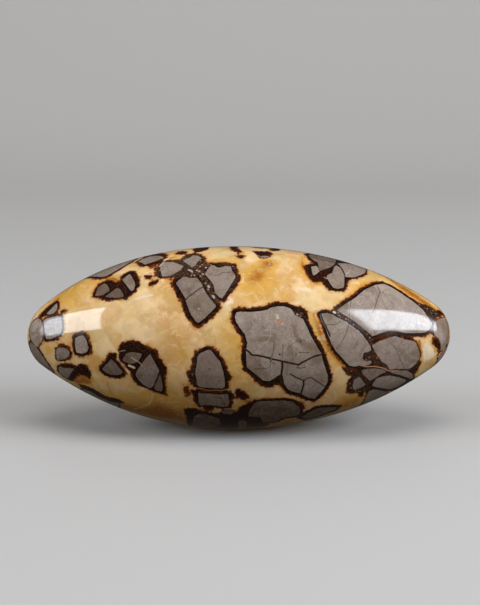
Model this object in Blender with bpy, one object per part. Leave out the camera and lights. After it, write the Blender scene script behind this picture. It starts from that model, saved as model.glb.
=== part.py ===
"""A polished lingam stone, ground from one septarian nodule and lying on its side.

It is one solid: a spindle with its length along X, two rounded noses and a belly that hangs a
little below the line between them. The origin is on the surface it rests on, under the middle of
its length. Each half of its outline is a long flank arc that runs into the arc of a round nose.
"""

import math

import bmesh
import bpy

MM = 0.001

# Driving dimensions, as callipers would take them from the stone
LENGTH = 140.0 * MM
GIRTH_RADIUS = 30.3 * MM
FATTEST_STATION = -2.0 * MM
LEFT_NOSE_RADIUS = 11.9 * MM
RIGHT_NOSE_RADIUS = 12.4 * MM

# What hand grinding left: fuller shoulders, a lower belly, a left flank that bows up and a left
# tip that lies lower
SHOULDER_SWELL = 0.5 * MM
BELLY_DROP = 0.75 * MM
LEFT_FLANK_LIFT = 0.7 * MM
LEFT_TIP_DROP = 0.8 * MM

# The spot it rests on is worn flat by this much
REST_FLAT_DEPTH = 0.3 * MM

# Facets: an even number of flats around, with one facing straight down, and an odd number of rings
FLATS_AROUND = 48
STATIONS_ALONG = 53

CALCITE_CREAM = (0.62, 0.43, 0.19, 1.0)
POLISHED_ROUGHNESS = 0.12


def start_empty():
    """Removes whatever the scene holds."""
    for thing in list(bpy.data.objects):
        bpy.data.objects.remove(thing, do_unlink=True)


def share_of_half(x):
    """-1 at the left tip, 0 in the middle and 1 at the right tip."""
    return x / (LENGTH / 2)


def radius_at(x):
    """The stone's radius at a station, from the two arcs of that half and the shoulder's swell."""
    if x < FATTEST_STATION:
        reach, nose = LENGTH / 2 + FATTEST_STATION, LEFT_NOSE_RADIUS
    else:
        reach, nose = LENGTH / 2 - FATTEST_STATION, RIGHT_NOSE_RADIUS
    away = abs(x - FATTEST_STATION)
    nose_centre = reach - nose
    flank = (nose_centre**2 + GIRTH_RADIUS**2 - nose**2) / (2 * (GIRTH_RADIUS - nose))
    beyond_axis = flank - GIRTH_RADIUS
    meeting = nose_centre * flank / math.hypot(nose_centre, beyond_axis)
    if away <= meeting:
        radius = math.sqrt(flank**2 - away**2) - beyond_axis
    else:
        radius = math.sqrt(max(nose**2 - (away - nose_centre) ** 2, 0.0))
    t = share_of_half(x)
    return radius + SHOULDER_SWELL * 4 * t**2 * (1 - t**2)


def centre_height_at(x):
    """Height of the ring's centre above the line through the middle of the tips."""
    t = share_of_half(x)
    bow = LEFT_FLANK_LIFT * 4 * t**2 * (1 - t**2) if t < 0 else 0.0
    return LEFT_TIP_DROP * t / 2 - BELLY_DROP * (1 - t**2) + bow


def stations():
    """Stations from tip to tip, close together where the noses turn in."""
    return [-LENGTH / 2 * math.cos(math.pi * i / STATIONS_ALONG) for i in range(STATIONS_ALONG + 1)]


def turned_stone():
    """The outline spun round X, then dropped at the belly and lifted on to the flat it rests on."""
    shape = bmesh.new()
    half_flat = math.pi / FLATS_AROUND
    outline = []
    for x in stations():
        to_corner = radius_at(x) / math.cos(half_flat)
        corner = (x, to_corner * math.sin(half_flat), -to_corner * math.cos(half_flat))
        outline.append(shape.verts.new(corner))
    edges = [shape.edges.new(pair) for pair in zip(outline, outline[1:])]
    bmesh.ops.spin(
        shape,
        geom=outline + edges,
        cent=(0, 0, 0),
        axis=(1, 0, 0),
        angle=2 * math.pi,
        steps=FLATS_AROUND,
        use_merge=True,
    )
    bmesh.ops.remove_doubles(shape, verts=shape.verts, dist=0.001 * MM)
    lowest = min(centre_height_at(x) - radius_at(x) for x in stations())
    lift = -lowest - REST_FLAT_DEPTH
    for corner in shape.verts:
        corner.co.z += centre_height_at(corner.co.x) + lift
    wear_flat(shape)
    bmesh.ops.recalc_face_normals(shape, faces=shape.faces)
    return shape


def wear_flat(shape):
    """Takes off what is below the surface the stone rests on and closes it with one level face."""
    everything = list(shape.verts) + list(shape.edges) + list(shape.faces)
    bmesh.ops.bisect_plane(
        shape,
        geom=everything,
        dist=0.001 * MM,
        plane_co=(0, 0, 0),
        plane_no=(0, 0, -1),
        clear_outer=True,
    )
    rim = [edge for edge in shape.edges if edge.is_boundary]
    bmesh.ops.holes_fill(shape, edges=rim)
    for edge in rim:
        for corner in edge.verts:
            corner.co.z = 0.0


def calcite():
    """The cream calcite that shows most, as one plain polished finish."""
    material = bpy.data.materials.new("polished_calcite")
    material.use_nodes = True
    surface = material.node_tree.nodes["Principled BSDF"]
    surface.inputs["Base Color"].default_value = CALCITE_CREAM
    surface.inputs["Roughness"].default_value = POLISHED_ROUGHNESS
    surface.inputs["Metallic"].default_value = 0.0
    return material


def make_stone():
    shape = turned_stone()
    mesh = bpy.data.meshes.new("lingam_stone")
    shape.to_mesh(mesh)
    shape.free()
    mesh.shade_smooth()
    mesh.set_sharp_from_angle(angle=math.radians(30))
    mesh.materials.append(calcite())
    stone = bpy.data.objects.new("lingam_stone", mesh)
    bpy.context.scene.collection.objects.link(stone)
    return stone


start_empty()
make_stone()
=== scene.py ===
# The looks of a polished septarian lingam stone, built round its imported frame
import math
import random

import bmesh
import bpy
import numpy as np
from mathutils import Matrix, Vector, noise
from mathutils.bvhtree import BVHTree


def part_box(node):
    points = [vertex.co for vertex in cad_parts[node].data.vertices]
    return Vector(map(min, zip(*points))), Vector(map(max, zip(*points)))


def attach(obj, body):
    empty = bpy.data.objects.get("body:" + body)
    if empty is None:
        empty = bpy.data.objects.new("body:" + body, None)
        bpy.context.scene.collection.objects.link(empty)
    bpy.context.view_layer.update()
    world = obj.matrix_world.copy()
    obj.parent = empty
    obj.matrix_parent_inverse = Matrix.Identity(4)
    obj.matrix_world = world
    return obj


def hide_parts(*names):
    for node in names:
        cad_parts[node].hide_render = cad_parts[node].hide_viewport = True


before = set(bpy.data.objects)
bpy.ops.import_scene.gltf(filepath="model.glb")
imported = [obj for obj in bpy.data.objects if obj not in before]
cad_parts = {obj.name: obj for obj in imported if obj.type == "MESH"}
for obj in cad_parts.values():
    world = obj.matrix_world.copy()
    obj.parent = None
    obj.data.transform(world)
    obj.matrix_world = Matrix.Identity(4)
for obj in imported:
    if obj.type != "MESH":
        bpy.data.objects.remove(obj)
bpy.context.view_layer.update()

# Lengths on the stone are in millimetres, and Blender's own are in metres
MM = 0.001
stone_low, stone_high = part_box("lingam_stone")
LENGTH = (stone_high.x - stone_low.x) / MM

# The stone's outline, with the same sizes as the solid it stands for
GIRTH_RADIUS = 30.3
FATTEST_STATION = -2.0
LEFT_NOSE_RADIUS = 11.9
RIGHT_NOSE_RADIUS = 12.4
SHOULDER_SWELL = 0.5
BELLY_DROP = 0.75
LEFT_FLANK_LIFT = 0.7
LEFT_TIP_DROP = 0.8
REST_FLAT_DEPTH = 0.3

# Hand grinding leaves the polished surface very slightly uneven
GRINDING_DEPTH = 0.05
GRINDING_LENGTH = 22.0

# The skin is four sides of quads that close over each nose with a square patch. Those near the
# edges of the markings are split in four over and over, to these distances in millimetres on the
# side that is shown and on the rest.
QUADS_A_SIDE = 40
QUADS_AROUND = 4 * QUADS_A_SIDE
QUADS_ALONG = 118
NOSE_PATCH_ARC = 12.5
PROFILE_STEPS = 4000
SLOPE_STEP = 0.01
SPLIT_REACHES = [(0.85, 0.85), (0.36, 0.0)]

# The photograph's frame in pixels, and where the camera stood
PHOTO_WIDTH = 480
PHOTO_HEIGHT = 605
STONE_MIDDLE_PIXEL = (238.7, 335.4)
MM_A_PIXEL = 0.3317
CAMERA_DISTANCE = 700.0
CAMERA_ELEVATION = math.radians(12)
SENSOR = 36.0

# How far from an outline the colours need to know their distance to it, and its longest straight run
FIELD_REACH = 4.0
LONGEST_RUN = 1.5

# A pixel that misses the stone is moved inwards by these steps, so many times at most
MISS_STEP_ALONG = 0.1
MISS_STEP_ACROSS = 0.25
MISS_STEPS = 60

# A direction that no outline faces, to measure the flat places across it
ASKEW = (0.36, 0.48, 0.8)

# The toothed edge eats into the brown, so rims and patches are first grown, in millimetres
RIM_GROWTH = 1.3
RIM_EXTRA = 0.22
PATCH_EXTRA = 0.12
CHIP_START = 0.2


def share_of_half(x):
    """-1 at the left tip, 0 in the middle and 1 at the right tip."""
    return x / (LENGTH / 2)


def radius_at(x):
    """The stone's radius at a station, from the two arcs of that half and the shoulder's swell."""
    if x < FATTEST_STATION:
        reach, nose = LENGTH / 2 + FATTEST_STATION, LEFT_NOSE_RADIUS
    else:
        reach, nose = LENGTH / 2 - FATTEST_STATION, RIGHT_NOSE_RADIUS
    away = abs(x - FATTEST_STATION)
    nose_centre = reach - nose
    flank = (nose_centre**2 + GIRTH_RADIUS**2 - nose**2) / (2 * (GIRTH_RADIUS - nose))
    beyond_axis = flank - GIRTH_RADIUS
    meeting = nose_centre * flank / math.hypot(nose_centre, beyond_axis)
    if away <= meeting:
        radius = math.sqrt(flank**2 - away**2) - beyond_axis
    else:
        radius = math.sqrt(max(nose**2 - (away - nose_centre) ** 2, 0.0))
    t = share_of_half(x)
    return radius + SHOULDER_SWELL * 4 * t**2 * (1 - t**2)


def centre_height_at(x):
    """Height of the ring's centre above the line through the middle of the tips."""
    t = share_of_half(x)
    bow = LEFT_FLANK_LIFT * 4 * t**2 * (1 - t**2) if t < 0 else 0.0
    return LEFT_TIP_DROP * t / 2 - BELLY_DROP * (1 - t**2) + bow


def fine_profile():
    """Stations, radii and arc lengths from tip to tip, close together at the noses."""
    steps = [math.pi * i / PROFILE_STEPS for i in range(PROFILE_STEPS + 1)]
    stations = np.array([-LENGTH / 2 * math.cos(step) for step in steps])
    radii = np.array([radius_at(x) for x in stations])
    arcs = np.concatenate([[0.0], np.cumsum(np.hypot(np.diff(stations), np.diff(radii)))])
    return stations, radii, arcs


STATIONS, RADII, ARCS = fine_profile()
LIFT = -min(centre_height_at(x) - radius for x, radius in zip(STATIONS, RADII)) - REST_FLAT_DEPTH


def on_stone(x, radius, turn):
    """The point at a station, turned by an angle from the front up over the top."""
    height = centre_height_at(x) + LIFT + radius * math.sin(turn)
    return Vector((x, -radius * math.cos(turn), max(height, 0.0)))


def around(x, degrees):
    """The point of the skin at a station and so many degrees up from the front."""
    return on_stone(x, radius_at(x), math.radians(degrees))


def unevenness(point):
    """How far the ground surface stands out at a point."""
    return GRINDING_DEPTH * noise.noise(point / GRINDING_LENGTH) * (1 - share_of_half(point.x) ** 2)


def at_arc(arc, turn):
    """The point of the skin at an arc length from the left tip."""
    x = float(np.interp(arc, ARCS, STATIONS))
    radius = float(np.interp(arc, ARCS, RADII))
    return on_stone(x, radius + unevenness(on_stone(x, radius, turn)), turn)


def settled(point):
    """A point close to the surface moved square on to it."""
    x = point.x
    up = point.z - centre_height_at(x) - LIFT
    spread = math.hypot(point.y, up)
    slope = (radius_at(x + SLOPE_STEP) - radius_at(x - SLOPE_STEP)) / (2 * SLOPE_STEP)
    gap = (radius_at(x) + unevenness(point) - spread) / (1 + slope**2)
    height = point.z + gap * up / spread
    return Vector((x - gap * slope, point.y + gap * point.y / spread, max(height, 0.0)))


def patch_place(i, j):
    """How far out, and in which direction, a corner of a square patch lies once it is made round."""
    u, v = 2 * i / QUADS_A_SIDE - 1, 2 * j / QUADS_A_SIDE - 1
    if u == v == 0:
        return 0.0, 0.0
    if abs(u) >= abs(v):
        return abs(u), math.pi / 4 * v / u + (0 if u > 0 else math.pi)
    return abs(v), math.pi / 2 - math.pi / 4 * u / v + (0 if v > 0 else math.pi)


def nose_patch(points, quads, first_of_ring, tip_arc, direction):
    """Closes the skin over a nose with a square patch whose border is the ring that is there."""
    index = {}
    for i in range(QUADS_A_SIDE + 1):
        for j in range(QUADS_A_SIDE + 1):
            share, turn = patch_place(i, j)
            if share == 1.0:
                step = round(turn / (2 * math.pi) * QUADS_AROUND) % QUADS_AROUND
                index[i, j] = first_of_ring + step
            else:
                index[i, j] = len(points)
                points.append(at_arc(tip_arc + direction * share * NOSE_PATCH_ARC, turn))
    for i in range(QUADS_A_SIDE):
        for j in range(QUADS_A_SIDE):
            quads.append((index[i, j], index[i + 1, j], index[i + 1, j + 1], index[i, j + 1]))


def even_skin():
    """Points in millimetres and quads of the whole skin, nearly even in size."""
    points, quads = [], []
    length = ARCS[-1] - 2 * NOSE_PATCH_ARC
    for ring in range(QUADS_ALONG + 1):
        arc = NOSE_PATCH_ARC + length * ring / QUADS_ALONG
        for step in range(QUADS_AROUND):
            points.append(at_arc(arc, 2 * math.pi * step / QUADS_AROUND))
    for ring in range(QUADS_ALONG):
        for step in range(QUADS_AROUND):
            a = ring * QUADS_AROUND + step
            b = ring * QUADS_AROUND + (step + 1) % QUADS_AROUND
            quads.append((a, b, b + QUADS_AROUND, a + QUADS_AROUND))
    nose_patch(points, quads, 0, 0.0, 1)
    nose_patch(points, quads, QUADS_ALONG * QUADS_AROUND, ARCS[-1], -1)
    return points, quads


def skin_shape():
    """The even skin as an editable shape, in millimetres."""
    points, quads = even_skin()
    shape = bmesh.new()
    corners = [shape.verts.new(point) for point in points]
    for quad in quads:
        shape.faces.new([corners[i] for i in quad])
    bmesh.ops.recalc_face_normals(shape, faces=shape.faces)
    return shape


def split_near(shape, wanted):
    """Halves the edges of every face that has a wanted corner."""
    old_count = len(shape.verts)
    edges = set()
    for corner, is_wanted in zip(shape.verts, wanted):
        if is_wanted:
            for face in corner.link_faces:
                edges.update(face.edges)
    bmesh.ops.subdivide_edges(
        shape,
        edges=sorted(edges, key=lambda edge: edge.index),
        cuts=1,
        use_grid_fill=True,
        use_single_edge=True,
        quad_corner_type="INNER_VERT",
    )
    shape.verts.ensure_lookup_table()
    shape.verts.index_update()
    shape.edges.index_update()
    for corner in shape.verts[old_count:]:
        corner.co = settled(corner.co)


# Where the camera stood, in millimetres, and the directions of its picture
LOOKING = Vector((0, math.cos(CAMERA_ELEVATION), -math.sin(CAMERA_ELEVATION)))
PICTURE_UP = Vector((0, math.sin(CAMERA_ELEVATION), math.cos(CAMERA_ELEVATION)))
PICTURE_RIGHT = Vector((1, 0, 0))
STONE_MIDDLE = Vector((0, 0, centre_height_at(0) + LIFT + BELLY_DROP))
PICTURE_MIDDLE = (
    STONE_MIDDLE
    + PICTURE_RIGHT * (PHOTO_WIDTH / 2 - STONE_MIDDLE_PIXEL[0]) * MM_A_PIXEL
    + PICTURE_UP * (STONE_MIDDLE_PIXEL[1] - PHOTO_HEIGHT / 2) * MM_A_PIXEL
)
CAMERA_PLACE = PICTURE_MIDDLE - LOOKING * CAMERA_DISTANCE


def sight_line(pixel):
    """The direction in which the camera sees a pixel of the photograph."""
    right = (pixel[0] - PHOTO_WIDTH / 2) * MM_A_PIXEL
    up = (PHOTO_HEIGHT / 2 - pixel[1]) * MM_A_PIXEL
    return (LOOKING * CAMERA_DISTANCE + PICTURE_RIGHT * right + PICTURE_UP * up).normalized()


class Skin:
    """The stone's skin, to find points on it and to measure distances along it."""

    def __init__(self, shape):
        self.tree = BVHTree.FromBMesh(shape)
        self.points = np.array([corner.co for corner in shape.verts])
        centres = self.points * (1, 0, 0)
        centres[:, 2] = [centre_height_at(x) + LIFT for x in self.points[:, 0]]
        outward = self.points - centres
        nose_start = LENGTH / 2 - (LEFT_NOSE_RADIUS + RIGHT_NOSE_RADIUS) / 2
        past = np.clip(np.abs(self.points[:, 0]) - nose_start, 0, None)
        outward[:, 0] = np.sign(self.points[:, 0]) * past
        self.outward = outward / np.linalg.norm(outward, axis=1)[:, None]

    def shown(self):
        """Which points the camera sees."""
        to_camera = np.array(CAMERA_PLACE) - self.points
        return (self.outward * to_camera).sum(1) > 0

    def seen(self, pixel):
        """The point of the skin at a pixel, moved towards the stone's middle line if it misses."""
        x, y = pixel
        middle = STONE_MIDDLE_PIXEL[1]
        for _ in range(MISS_STEPS):
            hit = self.tree.ray_cast(CAMERA_PLACE, sight_line((x, y)))[0]
            if hit is not None:
                return hit
            y += math.copysign(MISS_STEP_ACROSS, middle - y)
            x += MISS_STEP_ALONG if x < PHOTO_WIDTH / 2 else -MISS_STEP_ALONG
        raise ValueError(f"the pixel {pixel} is off the stone")

    def laid(self, corners, closed):
        """A line through the corners that keeps to the skin, in short runs."""
        ends = corners[1:] + corners[:1] if closed else corners[1:]
        line = []
        for start, end in zip(corners, ends):
            runs = max(1, math.ceil((end - start).length / LONGEST_RUN))
            for run in range(runs):
                line.append(self.tree.find_nearest(start.lerp(end, run / runs))[0])
        if not closed:
            line.append(corners[-1])
        return np.array(line)

    def near(self, line, reach=FIELD_REACH):
        """The skin's points close enough to a line for its colours."""
        middle = line.mean(0)
        reach += np.linalg.norm(line - middle, axis=1).max()
        return np.nonzero(np.linalg.norm(self.points - middle, axis=1) < reach)[0]

    def away_from(self, chosen, starts, ends):
        """For each chosen point, the shortest vector to the runs from starts to ends."""
        runs = ends - starts
        squares = np.maximum((runs**2).sum(1), 1e-9)
        from_start = self.points[chosen][:, None] - starts
        share = np.clip((from_start * runs).sum(2) / squares, 0, 1)
        gaps = from_start - share[..., None] * runs
        nearest = (gaps**2).sum(2).argmin(1)
        return gaps[np.arange(len(chosen)), nearest]

    def depth_inside(self, line):
        """The skin's points near a closed line, and how deep inside it each is in millimetres."""
        chosen = self.near(line)
        depth = np.linalg.norm(self.away_from(chosen, line, np.roll(line, -1, 0)), axis=1)
        area = np.cross(line, np.roll(line, -1, 0)).sum(0)
        facing = area / np.linalg.norm(area)
        middle = line.mean(0)
        if (middle - np.array(STONE_MIDDLE)) @ facing < 0:
            facing = -facing
        side = np.cross(facing, ASKEW)
        side /= np.linalg.norm(side)
        flat = np.stack([side, np.cross(facing, side)], 1)
        inside = within((self.points[chosen] - middle) @ flat, (line - middle) @ flat)
        inside &= self.outward[chosen] @ facing > 0
        return chosen, np.where(inside, depth, -depth)


def within(points, outline):
    """Whether each flat point lies inside the flat outline."""
    crossings = np.zeros(len(points), int)
    for a, b in zip(outline, np.roll(outline, -1, 0)):
        spans = (a[1] > points[:, 1]) != (b[1] > points[:, 1])
        if spans.any():
            across = a[0] + (points[:, 1] - a[1]) / (b[1] - a[1]) * (b[0] - a[0])
            crossings += spans & (points[:, 0] < across)
    return crossings % 2 == 1


class Markings:
    """What colours the skin: the distances to the mudstone, the brown rims and the lines."""

    def __init__(self, skin):
        self.skin = skin
        count = len(skin.points)
        self.mudstone = np.full(count, -FIELD_REACH)
        self.brown = np.full(count, -FIELD_REACH)
        self.tone = np.zeros(count)
        # The amber field holds the calcite's own amber tints and also painted shade, and below 0 paleness
        # that is partly painted light
        self.amber = np.zeros(count)
        self.chips = np.zeros(count)
        self.line_offset = np.full((count, 3), FIELD_REACH)
        self.line_distance = np.full(count, FIELD_REACH)
        self.line_width = np.zeros(count)
        self.line_shade = np.zeros(count)

    def corners(self, seen, beyond=()):
        """Pixels of the photograph, then stations and degrees for what it doesn't show."""
        return [self.skin.seen(p) for p in seen] + [around(*place) for place in beyond]

    def add_mudstone(self, corners, rim, tone):
        """A grey piece with a brown rim of that width."""
        chosen, depth = self.skin.depth_inside(self.skin.laid(corners, closed=True))
        deeper = depth > self.mudstone[chosen]
        self.tone[chosen[deeper]] = tone
        self.mudstone[chosen] = np.maximum(self.mudstone[chosen], depth)
        self.brown[chosen] = np.maximum(self.brown[chosen], depth + RIM_GROWTH * rim + RIM_EXTRA)

    def add_brown(self, corners, chips=0.0):
        """A brown patch with no grey in it, or with chips of it up to a share of 1."""
        chosen, depth = self.skin.depth_inside(self.skin.laid(corners, closed=True))
        self.brown[chosen] = np.maximum(self.brown[chosen], depth + PATCH_EXTRA)
        chipped = chips * np.clip(depth + CHIP_START, 0, 1)
        self.chips[chosen] = np.maximum(self.chips[chosen], chipped)

    def add_line(self, corners, width, shade):
        """A thin line: dark where shade is below 0, pale where it is above, and orange at 2."""
        line = self.skin.laid(corners, closed=False)
        chosen = self.skin.near(line)
        starts, ends = (line[:-1], line[1:]) if len(line) > 1 else (line, line)
        offset = self.skin.away_from(chosen, starts, ends)
        distance = np.linalg.norm(offset, axis=1)
        closer = distance < self.line_distance[chosen]
        chosen = chosen[closer]
        self.line_offset[chosen] = offset[closer]
        self.line_distance[chosen] = distance[closer]
        self.line_width[chosen] = width / 2
        self.line_shade[chosen] = shade

    def add_amber_and_shading(self, corners, reach, strength):
        """A soft spot or streak where the calcite is more amber, or paler below a strength of 0. Some of the
        amber is painted shade and some of the paleness painted light.
        """
        line = self.skin.laid(corners, closed=False)
        chosen = self.skin.near(line, 3 * reach)
        starts, ends = (line[:-1], line[1:]) if len(line) > 1 else (line, line)
        away = np.linalg.norm(self.skin.away_from(chosen, starts, ends), axis=1) / reach
        self.amber[chosen] += strength * np.exp(-(away**2))

    def near_edges(self, shown_reach, hidden_reach):
        """Which points are within reach of the edge of a piece of mudstone or of a line."""
        distance = np.minimum(np.abs(self.mudstone), self.line_distance)
        return distance < np.where(self.skin.shown(), shown_reach, hidden_reach)

    def store(self, mesh):
        """Writes the distances and tints to the mesh, for its material to read."""
        numbers = {
            "mudstone": self.mudstone,
            "brown": self.brown,
            "tone": self.tone,
            "amber": self.amber,
            "chips": self.chips,
            "line_distance": self.line_distance,
            "line_width": self.line_width,
            "line_shade": self.line_shade,
        }
        for name, values in numbers.items():
            attribute = mesh.attributes.new(name, "FLOAT", "POINT")
            attribute.data.foreach_set("value", values.astype(np.float32))
        attribute = mesh.attributes.new("line_offset", "FLOAT_VECTOR", "POINT")
        attribute.data.foreach_set("vector", self.line_offset.astype(np.float32).ravel())


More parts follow.
